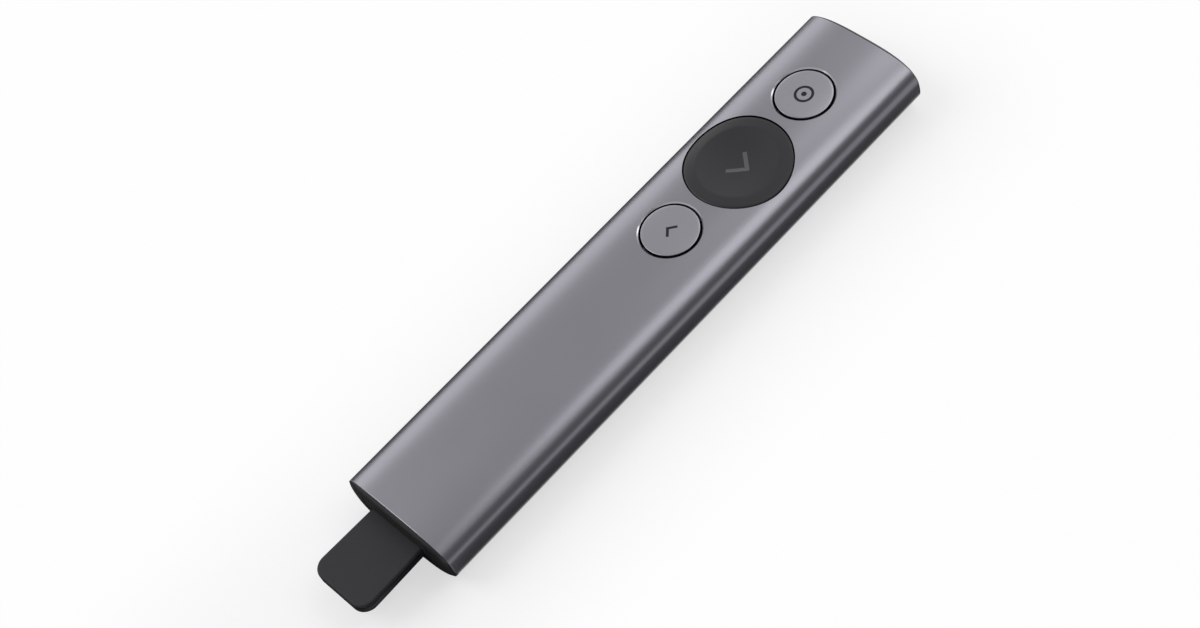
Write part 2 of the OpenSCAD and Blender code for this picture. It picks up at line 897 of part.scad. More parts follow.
body_shell();
front_cap();
rear_cap();
pointer_cap();
pointer_carrier();
pointer_nub();
next_cap();
next_carrier();
next_nub();
back_cap();
back_carrier();
back_nub();
pointer_switch();
next_switch();
back_switch();
chassis();
main_board();
board_screw_rear();
board_screw_front();
battery_cell();
battery_pad();
battery_lead_plus();
battery_lead_minus();
battery_plug();
battery_socket();
motor_cradle();
motor_can();
motor_shaft();
motor_weight();
usb_c_shell();
usb_c_tongue();
charge_chip();
shield_can();
radio_chip();
crystal();
motion_sensor();
antenna();
bay_spring_left();
bay_spring_right();
receiver_strap();
receiver_housing();
receiver_plug_shell();
receiver_tongue();
receiver_board();
receiver_contacts();
receiver_chip();
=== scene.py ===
# Slide clicker with three thumb buttons and a pull-out receiver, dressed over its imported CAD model.
# Lengths are in metres in the CAD frame: X across the body, +Y the pointing end, Z = 0 the table.
import math

import bmesh
import bpy
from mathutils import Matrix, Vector


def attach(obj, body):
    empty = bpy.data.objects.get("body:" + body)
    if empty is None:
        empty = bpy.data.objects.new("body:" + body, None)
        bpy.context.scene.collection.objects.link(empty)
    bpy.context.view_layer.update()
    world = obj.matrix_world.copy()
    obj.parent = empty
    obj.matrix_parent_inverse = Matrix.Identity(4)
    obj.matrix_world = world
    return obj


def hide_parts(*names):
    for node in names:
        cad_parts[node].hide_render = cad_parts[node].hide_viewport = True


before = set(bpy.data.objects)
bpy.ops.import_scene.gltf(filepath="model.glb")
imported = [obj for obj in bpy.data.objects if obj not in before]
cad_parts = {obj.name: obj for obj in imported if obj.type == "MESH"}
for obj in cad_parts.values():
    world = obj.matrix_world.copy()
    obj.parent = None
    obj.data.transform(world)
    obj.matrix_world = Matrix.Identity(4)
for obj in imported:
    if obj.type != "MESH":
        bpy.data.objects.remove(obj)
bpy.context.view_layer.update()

# The view: one camera above the tail's right side, as far off as the photograph's perspective says.
# The small sideways shift is the photograph's own framing.
bpy.ops.object.select_all(action="DESELECT")
bpy.ops.object.camera_add(location=(0.21140, -0.10778, 0.34102),
                          rotation=[math.radians(a) for a in (33.018, 13.090, 43.886)])
camera = bpy.context.object
camera.name = "photo_camera"
camera.data.sensor_width = 36
camera.data.lens = 65.73
camera.data.shift_x = -0.01149
camera.data.clip_start = 0.01
bpy.context.scene.camera = camera
bpy.context.scene.view_settings.view_transform = "Standard"


# The floor: a sweep of matt white paper. It keeps the object's soft shadow, and away from the object it is
# lifted to plain white, for the eye and for every reflection alike.
def srgb(code):
    """Linear colour of a hex code as a screen shows it."""
    parts = [int(code[i:i + 2], 16) / 255 for i in (1, 3, 5)]
    return tuple(c / 12.92 if c <= 0.04045 else ((c + 0.055) / 1.055) ** 2.4 for c in parts) + (1.0,)


def step(tree, kind, settings=None, **sockets):
    """Adds one node with its settings, and gives each named socket a value or a link."""
    new = tree.nodes.new(kind)
    for name, value in (settings or {}).items():
        setattr(new, name, value)
    for name, value in sockets.items():
        key = int(name[1:]) if name[0] == "i" and name[1:].isdigit() else name.replace("_", " ")
        if isinstance(value, bpy.types.NodeSocket):
            tree.links.new(value, new.inputs[key])
        else:
            new.inputs[key].default_value = value
    return new


def fresh(name):
    """Empty node material with its output node."""
    made = bpy.data.materials.new(name)
    made.use_nodes = True
    made.node_tree.nodes.clear()
    return made, made.node_tree, made.node_tree.nodes.new("ShaderNodeOutputMaterial")


def seen_or_reflected(tree):
    """1 for camera, glossy and transmission rays, 0 for the rays that only carry light."""
    path = step(tree, "ShaderNodeLightPath")
    both = step(tree, "ShaderNodeMath", {"operation": "ADD", "use_clamp": True},
                i0=path.outputs["Is Camera Ray"], i1=path.outputs["Is Glossy Ray"])
    return step(tree, "ShaderNodeMath", {"operation": "ADD", "use_clamp": True},
                i0=both.outputs[0], i1=path.outputs["Is Transmission Ray"]).outputs[0]


bpy.ops.mesh.primitive_circle_add(vertices=96, radius=3, fill_type="NGON", location=(0, 0, 0))
floor = bpy.context.object
floor.name = "paper_floor"
paper, tree, out = fresh("matt_white_paper")
place = step(tree, "ShaderNodeTexCoord").outputs["Object"]
fibre = step(tree, "ShaderNodeTexNoise", Vector=place, Scale=900.0, Detail=3.0)
sheet = step(tree, "ShaderNodeMixRGB", Fac=fibre.outputs["Fac"], Color1=srgb("#eeeeef"), Color2=srgb("#f3f3f4"))
axis = step(tree, "ShaderNodeSeparateXYZ", Vector=place)
gap = []
for name, middle, half in (("X", 0.0, 0.014), ("Y", -0.016, 0.089)):
    off = step(tree, "ShaderNodeMath", {"operation": "SUBTRACT"}, i0=axis.outputs[name], i1=middle)
    far = step(tree, "ShaderNodeMath", {"operation": "ABSOLUTE"}, i0=off.outputs[0])
    past = step(tree, "ShaderNodeMath", {"operation": "SUBTRACT"}, i0=far.outputs[0], i1=half)
    gap.append(step(tree, "ShaderNodeMath", {"operation": "MAXIMUM"}, i0=past.outputs[0], i1=0.0).outputs[0])
apart = step(tree, "ShaderNodeVectorMath", {"operation": "LENGTH"},
             i0=step(tree, "ShaderNodeCombineXYZ", X=gap[0], Y=gap[1]).outputs[0])
share = step(tree, "ShaderNodeMapRange", {"interpolation_type": "SMOOTHSTEP"}, Value=apart.outputs["Value"],
             From_Min=0.0, From_Max=0.032, To_Min=0.62, To_Max=0.985)
matt = step(tree, "ShaderNodeBsdfDiffuse", Color=sheet.outputs[0])
lift = step(tree, "ShaderNodeEmission", Color=srgb("#fefefe"), Strength=seen_or_reflected(tree))
white = step(tree, "ShaderNodeMixShader", i0=share.outputs[0], i1=matt.outputs[0], i2=lift.outputs[0])
tree.links.new(white.outputs[0], out.inputs["Surface"])
floor.data.materials.append(paper)

# The light: a dim white room with five softboxes, set so that the metal shows the photograph's bands.
# A grey card on the right gives the flank its dark line, and a dark one above the camera shades the dished button.
# Dark strips on the floor beside and behind the tube are painted shade: seen in reflections only, they stand in for
# the floor's contact shadow and give the tube its dark lower edges. A low dark sill far to the left darkens the low
# horizon in reflections. The camera sees none of them, and only the grey card on the right also dims the light.
room = bpy.context.scene.world or bpy.data.worlds.new("studio_room")
bpy.context.scene.world = room
room.use_nodes = True
tree = room.node_tree
tree.nodes.clear()
out = tree.nodes.new("ShaderNodeOutputWorld")
level = step(tree, "ShaderNodeMapRange", Value=seen_or_reflected(tree), To_Min=0.42, To_Max=1.0)
air = step(tree, "ShaderNodeBackground", Color=srgb("#ffffff"), Strength=level.outputs[0])
tree.links.new(air.outputs[0], out.inputs["Surface"])


def softbox(name, place, size, radiance):
    """Rectangular lamp turned to the object, whose face has the given radiance."""
    bpy.ops.object.light_add(type="AREA", location=place)
    lamp = bpy.context.object
    lamp.name = name
    lamp.rotation_euler = (Vector((0, 0.01, 0)) - Vector(place)).to_track_quat("-Z", "Y").to_euler()
    lamp.data.shape = "RECTANGLE"
    lamp.data.size, lamp.data.size_y = size
    lamp.data.energy = radiance * math.pi * size[0] * size[1]


softbox("softbox_key", (-0.45, -0.35, 0.60), (0.50, 0.50), 3.2)
softbox("softbox_overhead", (0.29, 0.31, 0.58), (0.25, 0.50), 2.2)
softbox("softbox_left", (-0.60, 0.17, 0.245), (0.70, 0.38), 1.3)
softbox("softbox_front", (-0.14, 0.52, 0.62), (0.40, 0.40), 1.55)
softbox("softbox_far", (0.06, 0.75, 0.30), (0.60, 0.22), 2.8)

felts = {}
for name, dark, light in (("pale_felt", "#b3b3b5", "#b9b9bb"), ("grey_felt", "#88888a", "#909092"),
                          ("charcoal_felt", "#59595b", "#616163")):
    felts[name], tree, out = fresh(name)
    nap = step(tree, "ShaderNodeTexNoise", Vector=step(tree, "ShaderNodeTexCoord").outputs["Object"], Scale=400.0)
    tint = step(tree, "ShaderNodeMixRGB", Fac=nap.outputs["Fac"], Color1=srgb(dark), Color2=srgb(light))
    tree.links.new(step(tree, "ShaderNodeBsdfDiffuse", Color=tint.outputs[0]).outputs[0], out.inputs["Surface"])
UPRIGHT, FLAT = (0, math.pi / 2, 0), (0, 0, 0)
for name, cloth, place, turn, size in (
        ("side_card", "pale_felt", (0.36, 0.10, 0.205), UPRIGHT, (0.37, 1.3, 1)),
        ("top_card", "charcoal_felt", (0.16, -0.09, 0.60), FLAT, (0.20, 0.17, 1)),
        # painted shade: the next four strips lie on the floor where the tube's contact shadow falls, and only
        # reflections see them
        ("left_shade_strip", "charcoal_felt", (-0.0650, 0.0170, 0.0004), FLAT, (0.094, 0.148, 1)),
        ("right_shade_strip", "grey_felt", (0.0245, 0.0150, 0.0004), FLAT, (0.0202, 0.144, 1)),
        ("cap_shade_strip", "charcoal_felt", (-0.0110, -0.0610, 0.0003), FLAT, (0.055, 0.010, 1)),
        ("strap_shade_strip", "charcoal_felt", (-0.0145, -0.0825, 0.0003), FLAT, (0.048, 0.033, 1)),
        ("far_strip", "charcoal_felt", (-0.40, 0.10, 0.024), UPRIGHT, (0.048, 0.80, 1))):
    bpy.ops.mesh.primitive_plane_add(size=1, location=place, rotation=turn)
    card = bpy.context.object
    card.name = name
    card.scale = size
    card.data.materials.append(felts[cloth])
    card.visible_camera = False
    if name != "side_card":
        card.visible_diffuse = card.visible_shadow = False
    if name == "right_shade_strip":
        card.data.vertices[3].co.x = -0.12  # narrower towards the pointing end

# The tube: one extrusion of aluminium with a pebble section, cut to length, bored for the three buttons,
# bead blasted and anodised slate grey. A fine chamfer breaks its ends, and a brighter one is turned round
# each small hole after the anodising.
TUBE_W, WALL, HALF_T, MID_Z = 0.0281, 0.001, 0.006078, 0.006022
REAR, FRONT = -0.05695, 0.07235
NEXT_Y, POINTER_Y, BACK_Y = 0.03645, 0.05565, 0.01725
BIG_HOLE, SMALL_HOLE = 0.0109, 0.0062


def alone(piece):
    """Makes one piece the only one selected, in object mode."""
    if bpy.context.object and bpy.context.object.mode == "EDIT":
        bpy.ops.object.mode_set(mode="OBJECT")
    bpy.ops.object.select_all(action="DESELECT")
    bpy.context.view_layer.objects.active = piece
    piece.select_set(True)


def pick(piece, *tests, kind="EDGE"):
    """Opens a piece for editing and selects the parts whose corners all pass one of the tests."""
    alone(piece)
    bpy.ops.object.mode_set(mode="EDIT")
    bpy.ops.mesh.select_mode(type=kind)
    bpy.ops.mesh.select_all(action="DESELECT")
    mesh = bmesh.from_edit_mesh(piece.data)
    parts = {"VERT": mesh.verts, "EDGE": mesh.edges, "FACE": mesh.faces}[kind]
    for part in parts:
        corners = [part] if kind == "VERT" else part.verts
        part.select_set(any(all(test(v.co) for v in corners) for test in tests))
    mesh.select_flush_mode()
    bmesh.update_edit_mesh(piece.data)


def modify(piece, kind, **settings):
    """Adds a modifier with its settings and applies it."""
    alone(piece)
    new = piece.modifiers.new(kind.lower(), kind)
    for name, value in settings.items():
        setattr(new, name, value)
    bpy.ops.object.modifier_apply(modifier=new.name)


def carve(piece, tool, how="DIFFERENCE"):
    """Cuts, joins or trims a piece with a tool body, and throws the tool away."""
    modify(piece, "BOOLEAN", object=tool, operation=how, solver="EXACT")
    bpy.data.objects.remove(tool)


def pebble_bar(name, inset, rear, front, drop=0.0):
    """Bar of the tube's section: a square bar whose long edges are rounded till they meet, then drawn out."""
    bpy.ops.mesh.primitive_cube_add(size=1, location=(0, 0, 0))
    bar = bpy.context.object
    bar.name = name
    pick(bar, *[lambda co, x=x, z=z: co.x * x > 0 and co.z * z > 0 for x in (-1, 1) for z in (-1, 1)])
    bpy.ops.mesh.bevel(offset=0.49999, segments=32, profile=2 ** (-2 / 2.9), clamp_overlap=False)
    bpy.ops.mesh.select_all(action="SELECT")
    bpy.ops.mesh.remove_doubles(threshold=0.0001)
    bpy.ops.transform.resize(value=(TUBE_W - 2 * inset, front - rear, 2 * (HALF_T - inset)),
                             center_override=(0, 0, 0))
    bpy.ops.transform.translate(value=(0, (front + rear) / 2, MID_Z - drop))
    alone(bar)
    return bar


def flatten_belly(piece):
    """Planes the underside off level with the table."""
    pick(piece, lambda co: True)
    bpy.ops.mesh.bisect(plane_co=(0, 0, 0), plane_no=(0, 0, 1), use_fill=True, clear_inner=True,
                        threshold=1e-7)


def rod(name, radius, low, high, x=0.0, y=0.0, sides=96, top_radius=None):
    """Upright round bar or cone, used as a blank or as a drill."""
    bpy.ops.mesh.primitive_cone_add(vertices=sides, radius1=radius, radius2=top_radius or radius,
                                    depth=high - low, location=(x, y, (low + high) / 2))
    made = bpy.context.object
    made.name = name
    bpy.ops.object.transform_apply(location=True)
    return made


def smooth(piece, degrees=25):
    """Shades a piece smooth over gentle edges, with its large faces leading."""
    alone(piece)
    bpy.ops.object.shade_smooth_by_angle(angle=math.radians(degrees))
    modify(piece, "WEIGHTED_NORMAL", keep_sharp=True, weight=60)


def dress(piece, material, body, slot, *nodes):
    """Gives a finished piece its material and body, and hides the CAD nodes that it stands for. Its finish slot is
    not used.
    """
    piece.data.materials.clear()
    piece.data.materials.append(material)
    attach(piece, body)
    if nodes:
        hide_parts(*nodes)


def paint(piece, material, test):
    """Gives a second material to the faces whose corners all pass a test."""
    piece.data.materials.append(material)
    pick(piece, test, kind="FACE")
    piece.active_material_index = len(piece.data.materials) - 1
    bpy.ops.object.material_slot_assign()
    alone(piece)


tube = pebble_bar("tube", 0, REAR, FRONT)
flatten_belly(tube)
pick(tube, lambda co: co.y < REAR + 1e-6, lambda co: co.y > FRONT - 1e-6)
bpy.ops.mesh.bevel(offset=0.00012, segments=2)
alone(tube)
carve(tube, pebble_bar("bore", WALL, REAR - 0.002, FRONT + 0.002))
carve(tube, rod("drill", BIG_HOLE, 0.008, 0.014, y=NEXT_Y, sides=160))
for hole_y in (POINTER_Y, BACK_Y):
    carve(tube, rod("drill", SMALL_HOLE, 0.008, 0.014, y=hole_y, sides=128))
    sink = rod("countersink", SMALL_HOLE, 0.01187, 0.01283, y=hole_y, sides=128, top_radius=0.0072)
    for part in sink.data.vertices:
        part.co.z -= HALF_T * (1 - (1 - abs(part.co.x / TUBE_W * 2) ** 2.9) ** (1 / 2.9))
    carve(tube, sink)
smooth(tube, 12)

# Blasting leaves the metal satin, so highlights are broad and soft; the die leaves faint lines along it.
# The 0.1 mm blast grain is drawn at 0.3 mm, as fine as it can show.
def lay_skin(tree, out, colour, metal, rough, height, depth, shine=0.5):
    """Joins a colour, a share of metal, a roughness and a relief into a material's surface."""
    relief = step(tree, "ShaderNodeBump", Height=height, Strength=0.5, Distance=depth)
    skin = step(tree, "ShaderNodeBsdfPrincipled", Base_Color=colour, Metallic=metal, Roughness=rough,
                Normal=relief.outputs[0], Specular_IOR_Level=shine)
    tree.links.new(skin.outputs[0], out.inputs["Surface"])


def satin_metal(name, dark, light, rough, lines=(2600.0, 14.0, 2600.0), grain=3300.0, depth=0.000004):
    """Metal with a cloudy tone, fine lines along its working direction and a fine grain."""
    made, tree, out = fresh(name)
    place = step(tree, "ShaderNodeTexCoord").outputs["Object"]
    cloud = step(tree, "ShaderNodeTexNoise", Vector=place, Scale=70.0, Detail=2.0)
    tone = step(tree, "ShaderNodeMixRGB", Fac=cloud.outputs["Fac"], Color1=srgb(dark), Color2=srgb(light))
    drawn = step(tree, "ShaderNodeMapping", {"vector_type": "POINT"}, Vector=place, Scale=lines)
    line = step(tree, "ShaderNodeTexNoise", Vector=drawn.outputs[0], Scale=1.0, Detail=2.0)
    blast = step(tree, "ShaderNodeTexNoise", Vector=place, Scale=grain, Detail=1.0)
    both = step(tree, "ShaderNodeMixRGB", Fac=0.35, Color1=blast.outputs["Fac"], Color2=line.outputs["Fac"])
    matt = step(tree, "ShaderNodeMapRange", Value=both.outputs[0], To_Min=rough - 0.03, To_Max=rough + 0.03)
    lay_skin(tree, out, tone.outputs[0], 1.0, matt.outputs[0], both.outputs[0], depth)
    return made


tube_metal = satin_metal("bead_blasted_anodised_aluminium", "#75747a", "#79787e", 0.31)
# The bare chamfer is turned with a diamond, so it is brighter and glossier than the blasted skin.
bright_cut, tree, out = fresh("diamond_turned_aluminium")
turned = step(tree, "ShaderNodeTexNoise", Vector=step(tree, "ShaderNodeTexCoord").outputs["Object"],
              Scale=1500.0, Detail=1.0)
sheen = step(tree, "ShaderNodeMapRange", Value=turned.outputs["Fac"], To_Min=0.17, To_Max=0.23)
skin = step(tree, "ShaderNodeBsdfPrincipled", Base_Color=srgb("#98989c"), Metallic=1.0,
            Roughness=sheen.outputs[0])
tree.links.new(skin.outputs[0], out.inputs["Surface"])
dress(tube, tube_metal, "body", "tube_metal", "body_shell")
paint(tube, bright_cut, lambda co: co.z > 0.0112 and 0.00618 < min(
    math.hypot(co.x, co.y - POINTER_Y), math.hypot(co.x, co.y - BACK_Y)) < 0.00655)

# The end caps: two black ABS mouldings that close the tube with a low pillow and grip it by a collar.
# The rear one has the receiver's bay moulded behind its mouth.
def block(name, x, y, z):
    """Box between two places on each axis, used as a blank or as a cutter."""
    bpy.ops.mesh.primitive_cube_add(size=1, location=((x[0] + x[1]) / 2, (y[0] + y[1]) / 2, (z[0] + z[1]) / 2),
                                    scale=(x[1] - x[0], y[1] - y[0], z[1] - z[0]))
    made = bpy.context.object
    made.name = name
    bpy.ops.object.transform_apply(location=True, rotation=False, scale=True)
    return made


def end_cap(name, edge, way):
    """Pillow outside the tube's edge, drawn out in shrinking steps, joined to a collar inside it."""
    lip, bulge, steps = 0.00002, 0.001, 16
    cap = pebble_bar(name, 0, *sorted((edge, edge + way * lip)))
    flatten_belly(cap)
    pick(cap, lambda co: abs(co.y - edge - way * lip) < 1e-7, kind="FACE")
    share, rise = 1.0, 0.0
    for i in range(1, steps + 1):
        new_share = 1 - 0.5 * (i / steps) ** 1.4
        new_rise = (bulge - lip) * (1 - new_share ** 8.5) / (1 - 0.5 ** 8.5)
        bpy.ops.mesh.extrude_region_move(TRANSFORM_OT_translate={"value": (0, way * (new_rise - rise), 0)})
        ratio = new_share / share
        bpy.ops.transform.resize(value=(ratio, 1, ratio), center_override=(0, edge, MID_Z))
        share, rise = new_share, new_rise
    alone(cap)
    near, far = sorted((edge + way * lip / 2, edge - way * 0.005))
    collar = pebble_bar("collar", WALL + 0.00015, near, far)
    carve(collar, pebble_bar("bore", WALL + 0.00135, near - 0.001, far + 0.001))
    carve(cap, collar, "UNION")
    return cap


front_cap = end_cap("front_cap_moulding", FRONT, 1)
rear_cap = end_cap("rear_cap_moulding", REAR, -1)
sleeve = block("sleeve", (-0.010, 0.010), (REAR - 0.00001, -0.04395), (0.0014, 0.0107))
carve(sleeve, block("neck", (-0.00735, 0.00735), (-0.04515, -0.03155), (0.00245, 0.00965)), "UNION")
carve(sleeve, pebble_bar("trim", WALL + 0.0002, REAR - 0.002, -0.030), "INTERSECT")
carve(rear_cap, sleeve, "UNION")
carve(rear_cap, block("mouth", (-0.0088, 0.0088), (-0.060, -0.0450), (0.0026, 0.0095)))
carve(rear_cap, block("plug_room", (-0.00615, 0.00615), (-0.0452, -0.03275), (0.00365, 0.00845)))
carve(rear_cap, block("port_window", (-0.00467, 0.00467), (-0.0330, -0.0300), (0.0040, 0.00756)))
carve(rear_cap, block("spring_windows", (-0.011, 0.011), (-0.05315, -0.04835), (0.00425, 0.00785)))
smooth(front_cap, 30)
smooth(rear_cap, 30)

# Spark-eroded tooling gives the black a fine even grain of about 0.15 mm, so it shines only softly.
def moulded_plastic(name, dark, light, rough, grain, depth, shine=0.3):
    """Plastic or rubber with a cloudy tone and an even grain of a given size."""
    made, tree, out = fresh(name)
    place = step(tree, "ShaderNodeTexCoord").outputs["Object"]
    cloud = step(tree, "ShaderNodeTexNoise", Vector=place, Scale=160.0, Detail=2.0)
    tone = step(tree, "ShaderNodeMixRGB", Fac=cloud.outputs["Fac"], Color1=srgb(dark), Color2=srgb(light))
    spark = step(tree, "ShaderNodeTexVoronoi", {"feature": "SMOOTH_F1"}, Vector=place, Scale=1 / grain)
    matt = step(tree, "ShaderNodeMapRange", Value=spark.outputs["Distance"], To_Min=rough - 0.05,
                To_Max=rough + 0.07)
    lay_skin(tree, out, tone.outputs[0], 0.0, matt.outputs[0], spark.outputs["Distance"], depth, shine)
    return made


black_abs = moulded_plastic("black_abs_fine_grain", "#0f0f11", "#131315", 0.42, 0.00015, 0.000004)
dress(front_cap, black_abs, "body", "cap_black", "front_cap")
dress(rear_cap, black_abs, "body", "cap_black", "rear_cap")


# The small buttons: discs cut from the tube's own section and anodised with it, flush in their holes.
# Each has a mark engraved by laser and filled with dark enamel.
def button_blank(name, radius, floor, y, sides, ring, rims, recess):
    """Disc of fine rings whose top is pulled onto the tube's section and rounded off at its rim."""
    bpy.ops.mesh.primitive_circle_add(vertices=sides, radius=radius, fill_type="NGON", location=(0, y, 0.0135))
    made = bpy.context.object
    made.name = name
    bpy.ops.object.transform_apply(location=True)
    pick(made, lambda co: True, kind="FACE")
    inner = 0.0
    for reach, dip in rims:
        bpy.ops.mesh.inset(thickness=reach - inner)
        inner = reach
    while radius - inner > 2 * ring:
        bpy.ops.mesh.inset(thickness=ring)
        inner += ring
    pick(made, lambda co: True, kind="FACE")
    bpy.ops.mesh.extrude_region_move(TRANSFORM_OT_translate={"value": (0, 0, floor - 0.0135)})
    bpy.ops.mesh.select_all(action="SELECT")
    bpy.ops.mesh.normals_make_consistent(inside=False)
    alone(made)
    crown = made.vertex_groups.new(name="crown")
    crown.add([v.index for v in made.data.vertices if v.co.z > 0.0134], 1.0, "REPLACE")
    form = pebble_bar("form", 0, y - 0.02, y + 0.02, drop=recess)
    modify(made, "SHRINKWRAP", target=form, wrap_method="PROJECT", use_project_z=True,
           use_negative_direction=True, use_positive_direction=False, vertex_group="crown")
    bpy.data.objects.remove(form)
    for reach, dip in ((0.0, rims[0][1] * 2.6),) + rims:
        pick(made, lambda co: abs(math.hypot(co.x, co.y - y) - radius + reach) < 4e-6 and co.z > floor + 2e-4,
             kind="VERT")
        bpy.ops.transform.translate(value=(0, 0, -dip))
    alone(made)
    return made


def twin(piece, name, shift=0.0):
    """Copy of a piece with its own mesh, moved up or down."""
    alone(piece)
    bpy.ops.object.duplicate()
    made = bpy.context.object
    made.name = name
    bpy.ops.transform.translate(value=(0, 0, shift))
    bpy.ops.object.transform_apply(location=True)
    return made


def chevron(name, tip, end, stroke, y, z):
    """Arrow-head of two square bars that meet in a mitred corner."""
    run, half = Vector((end[0] - tip[0], end[1])), stroke / 2
    arms = []
    for side in (-1, 1):
        arm = block(name, (tip[0] - half, tip[0] + run.length), (y - half, y + half), z)
        turn = math.atan2(side * run.y, run.x)
        pick(arm, lambda co: True)
        bpy.ops.transform.rotate(value=-turn, orient_axis="Z", center_override=(tip[0], y, 0))
        alone(arm)
        arms.append(arm)
    carve(arms[0], arms[1], "UNION")
    return arms[0]


def inlay(cap, name, tool, sunk):
    """Cuts a mark into a cap and fills the cut, a little below its surface."""
    fill = twin(cap, name, -sunk)
    carve(fill, twin(tool, "tool"), "INTERSECT")
    carve(cap, tool)
    smooth(fill, 30)
    return fill


small_rims = ((0.00003, 0.00004), (0.00007, 0.00002), (0.00012, 0.00001))
pointer = button_blank("pointer_button_disc", 0.00574, 0.0106, POINTER_Y, 128, 0.00035, small_rims, 0.00009)
back = button_blank("back_button_disc", 0.00574, 0.0106, BACK_Y, 128, 0.00035, small_rims, 0.00009)
ring = rod("ring", 0.0020, 0.01195, 0.0130, y=POINTER_Y, sides=64)
carve(ring, rod("core", 0.00145, 0.0110, 0.0140, y=POINTER_Y, sides=64))
pointer_ring = inlay(pointer, "pointer_mark_ring", ring, 0.00003)
pointer_dot = inlay(pointer, "pointer_mark_dot", rod("dot", 0.00055, 0.01195, 0.0130, y=POINTER_Y, sides=32),
                    0.00003)
back_mark = inlay(back, "back_mark", chevron("arrow", (-0.00068, 0), (0.00060, 0.00143), 0.00055, BACK_Y,
                                             (0.01195, 0.0130)), 0.00003)
smooth(pointer, 30)
smooth(back, 30)
enamel = moulded_plastic("dark_enamel_fill", "#070609", "#0b0a0d", 0.5, 0.0002, 0.000002, 0.2)
button_metal = satin_metal("anodised_aluminium_disc", "#7e7d83", "#828187", 0.31)
dress(pointer, button_metal, "pointer_button", "button_metal", "pointer_cap")
dress(back, button_metal, "back_button", "button_metal", "back_cap")
for mark, body in ((pointer_ring, "pointer_button"), (pointer_dot, "pointer_button"), (back_mark, "back_button")):
    dress(mark, enamel, body, "inner_black")

# The large button: one moulding of black soft-touch plastic with a thumb dish inside a rounded rim,
# and an arrow-head printed in grey in the dish. Under it hangs a skirt, notched where its hooks pass.
thumb = button_blank("next_button_moulding", 0.01072, 0.0093, NEXT_Y, 160, 0.00022,
                     ((0.00008, 0.00012), (0.00018, 0.00006), (0.00032, 0.00002)), 0.00005)
for i in range(47):
    reach = 0.01072 - 0.00032 - 0.00022 * i
    depth = 0.0009 * max(0.0, 1 - (reach / 0.0083) ** 2)
    pick(thumb, lambda co: abs(math.hypot(co.x, co.y - NEXT_Y) - reach) < 6e-6 and co.z > 0.0100, kind="VERT")
    bpy.ops.transform.translate(value=(0, 0, -depth))
modify(thumb, "SMOOTH", factor=0.5, iterations=2, use_x=False, use_y=False, vertex_group="crown")
carve(thumb, rod("hollow", 0.00952, 0.0080, 0.0103, y=NEXT_Y))
carve(thumb, block("notch", (-0.0027, 0.0027), (NEXT_Y - 0.012, NEXT_Y + 0.012), (0.0080, 0.0103)))
next_mark = inlay(thumb, "next_mark", chevron("arrow", (0.0022, 0), (-0.00088, 0.00270), 0.00085, NEXT_Y,
                                              (0.0110, 0.0130)), 0.00002)
pick(thumb, lambda co: True, kind="VERT")
bpy.ops.mesh.remove_doubles(threshold=0.000001)
smooth(thumb, 30)
soft_touch = moulded_plastic("soft_touch_black_plastic", "#0b0b10", "#0f0f14", 0.44, 0.0002, 0.000003, 0.32)
grey_print = moulded_plastic("grey_pad_print", "#48484b", "#4d4d50", 0.5, 0.0003, 0.000003)
dress(thumb, soft_touch, "next_button", "soft_black", "next_cap")
dress(next_mark, grey_print, "next_button", "nub_plastic")

# The pull strap: a tongue of black silicone rubber moulded round the receiver's tail,
# with rounded edges and a parting groove just below its upper edge.
strap = block("pull_strap", (-0.00725, 0.00725), (-0.07335, -0.05545), (0.0048, 0.0073))
pick(strap, lambda co: co.y > -0.056)
bpy.ops.transform.resize(value=(0.0138 / 0.0145, 1, 1), center_override=(0, 0, 0))
pick(strap, lambda co: co.y < -0.073 and co.x < 0, lambda co: co.y < -0.073 and co.x > 0)
bpy.ops.mesh.bevel(offset=0.003, segments=14)
groove = twin(strap, "groove_core")
pick(groove, lambda co: True)
bpy.ops.transform.resize(value=(0.0137 / 0.0145, 1, 1), center_override=(0, 0, 0))
bpy.ops.transform.translate(value=(0, 0.0004, 0))
alone(groove)
frame_tool = block("frame_tool", (-0.009, 0.009), (-0.075, -0.0585), (0.00655, 0.00680))
carve(frame_tool, groove)
pick(strap, lambda co: co.z > 0.0072, lambda co: co.z < 0.0049)
bpy.ops.mesh.bevel(offset=0.0005, segments=5)
alone(strap)
carve(strap, frame_tool)
smooth(strap, 35)
rubber = moulded_plastic("black_silicone_rubber", "#0c0d12", "#111217", 0.56, 0.00022, 0.000006)
dress(strap, rubber, "receiver", "strap_rubber", "receiver_strap")

# Under each cap is a carrier of black acetal with a plate, two hooks that stop under the tube, and a stem.
# It is moulded in one shot, slightly waxy, and snaps in from inside the tube.
def finish_node(material, *names, edge=0.0):
    """Gives CAD nodes their material and rounds their sharp edges where a mould or a die would."""
    for name in names:
        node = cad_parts[name]
        for place in node.material_slots:
            place.material = material
        if edge:
            node.modifiers.new("weld", "WELD").merge_threshold = 0.000001
            round_off = node.modifiers.new("edge", "BEVEL")
            round_off.width, round_off.segments = edge, 2
            round_off.limit_method, round_off.angle_limit = "ANGLE", math.radians(40)


acetal = moulded_plastic("black_acetal_waxy", "#161618", "#1c1c1e", 0.33, 0.0004, 0.000002, 0.5)
finish_node(acetal, "pointer_carrier", "next_carrier", "back_carrier", edge=0.00010)

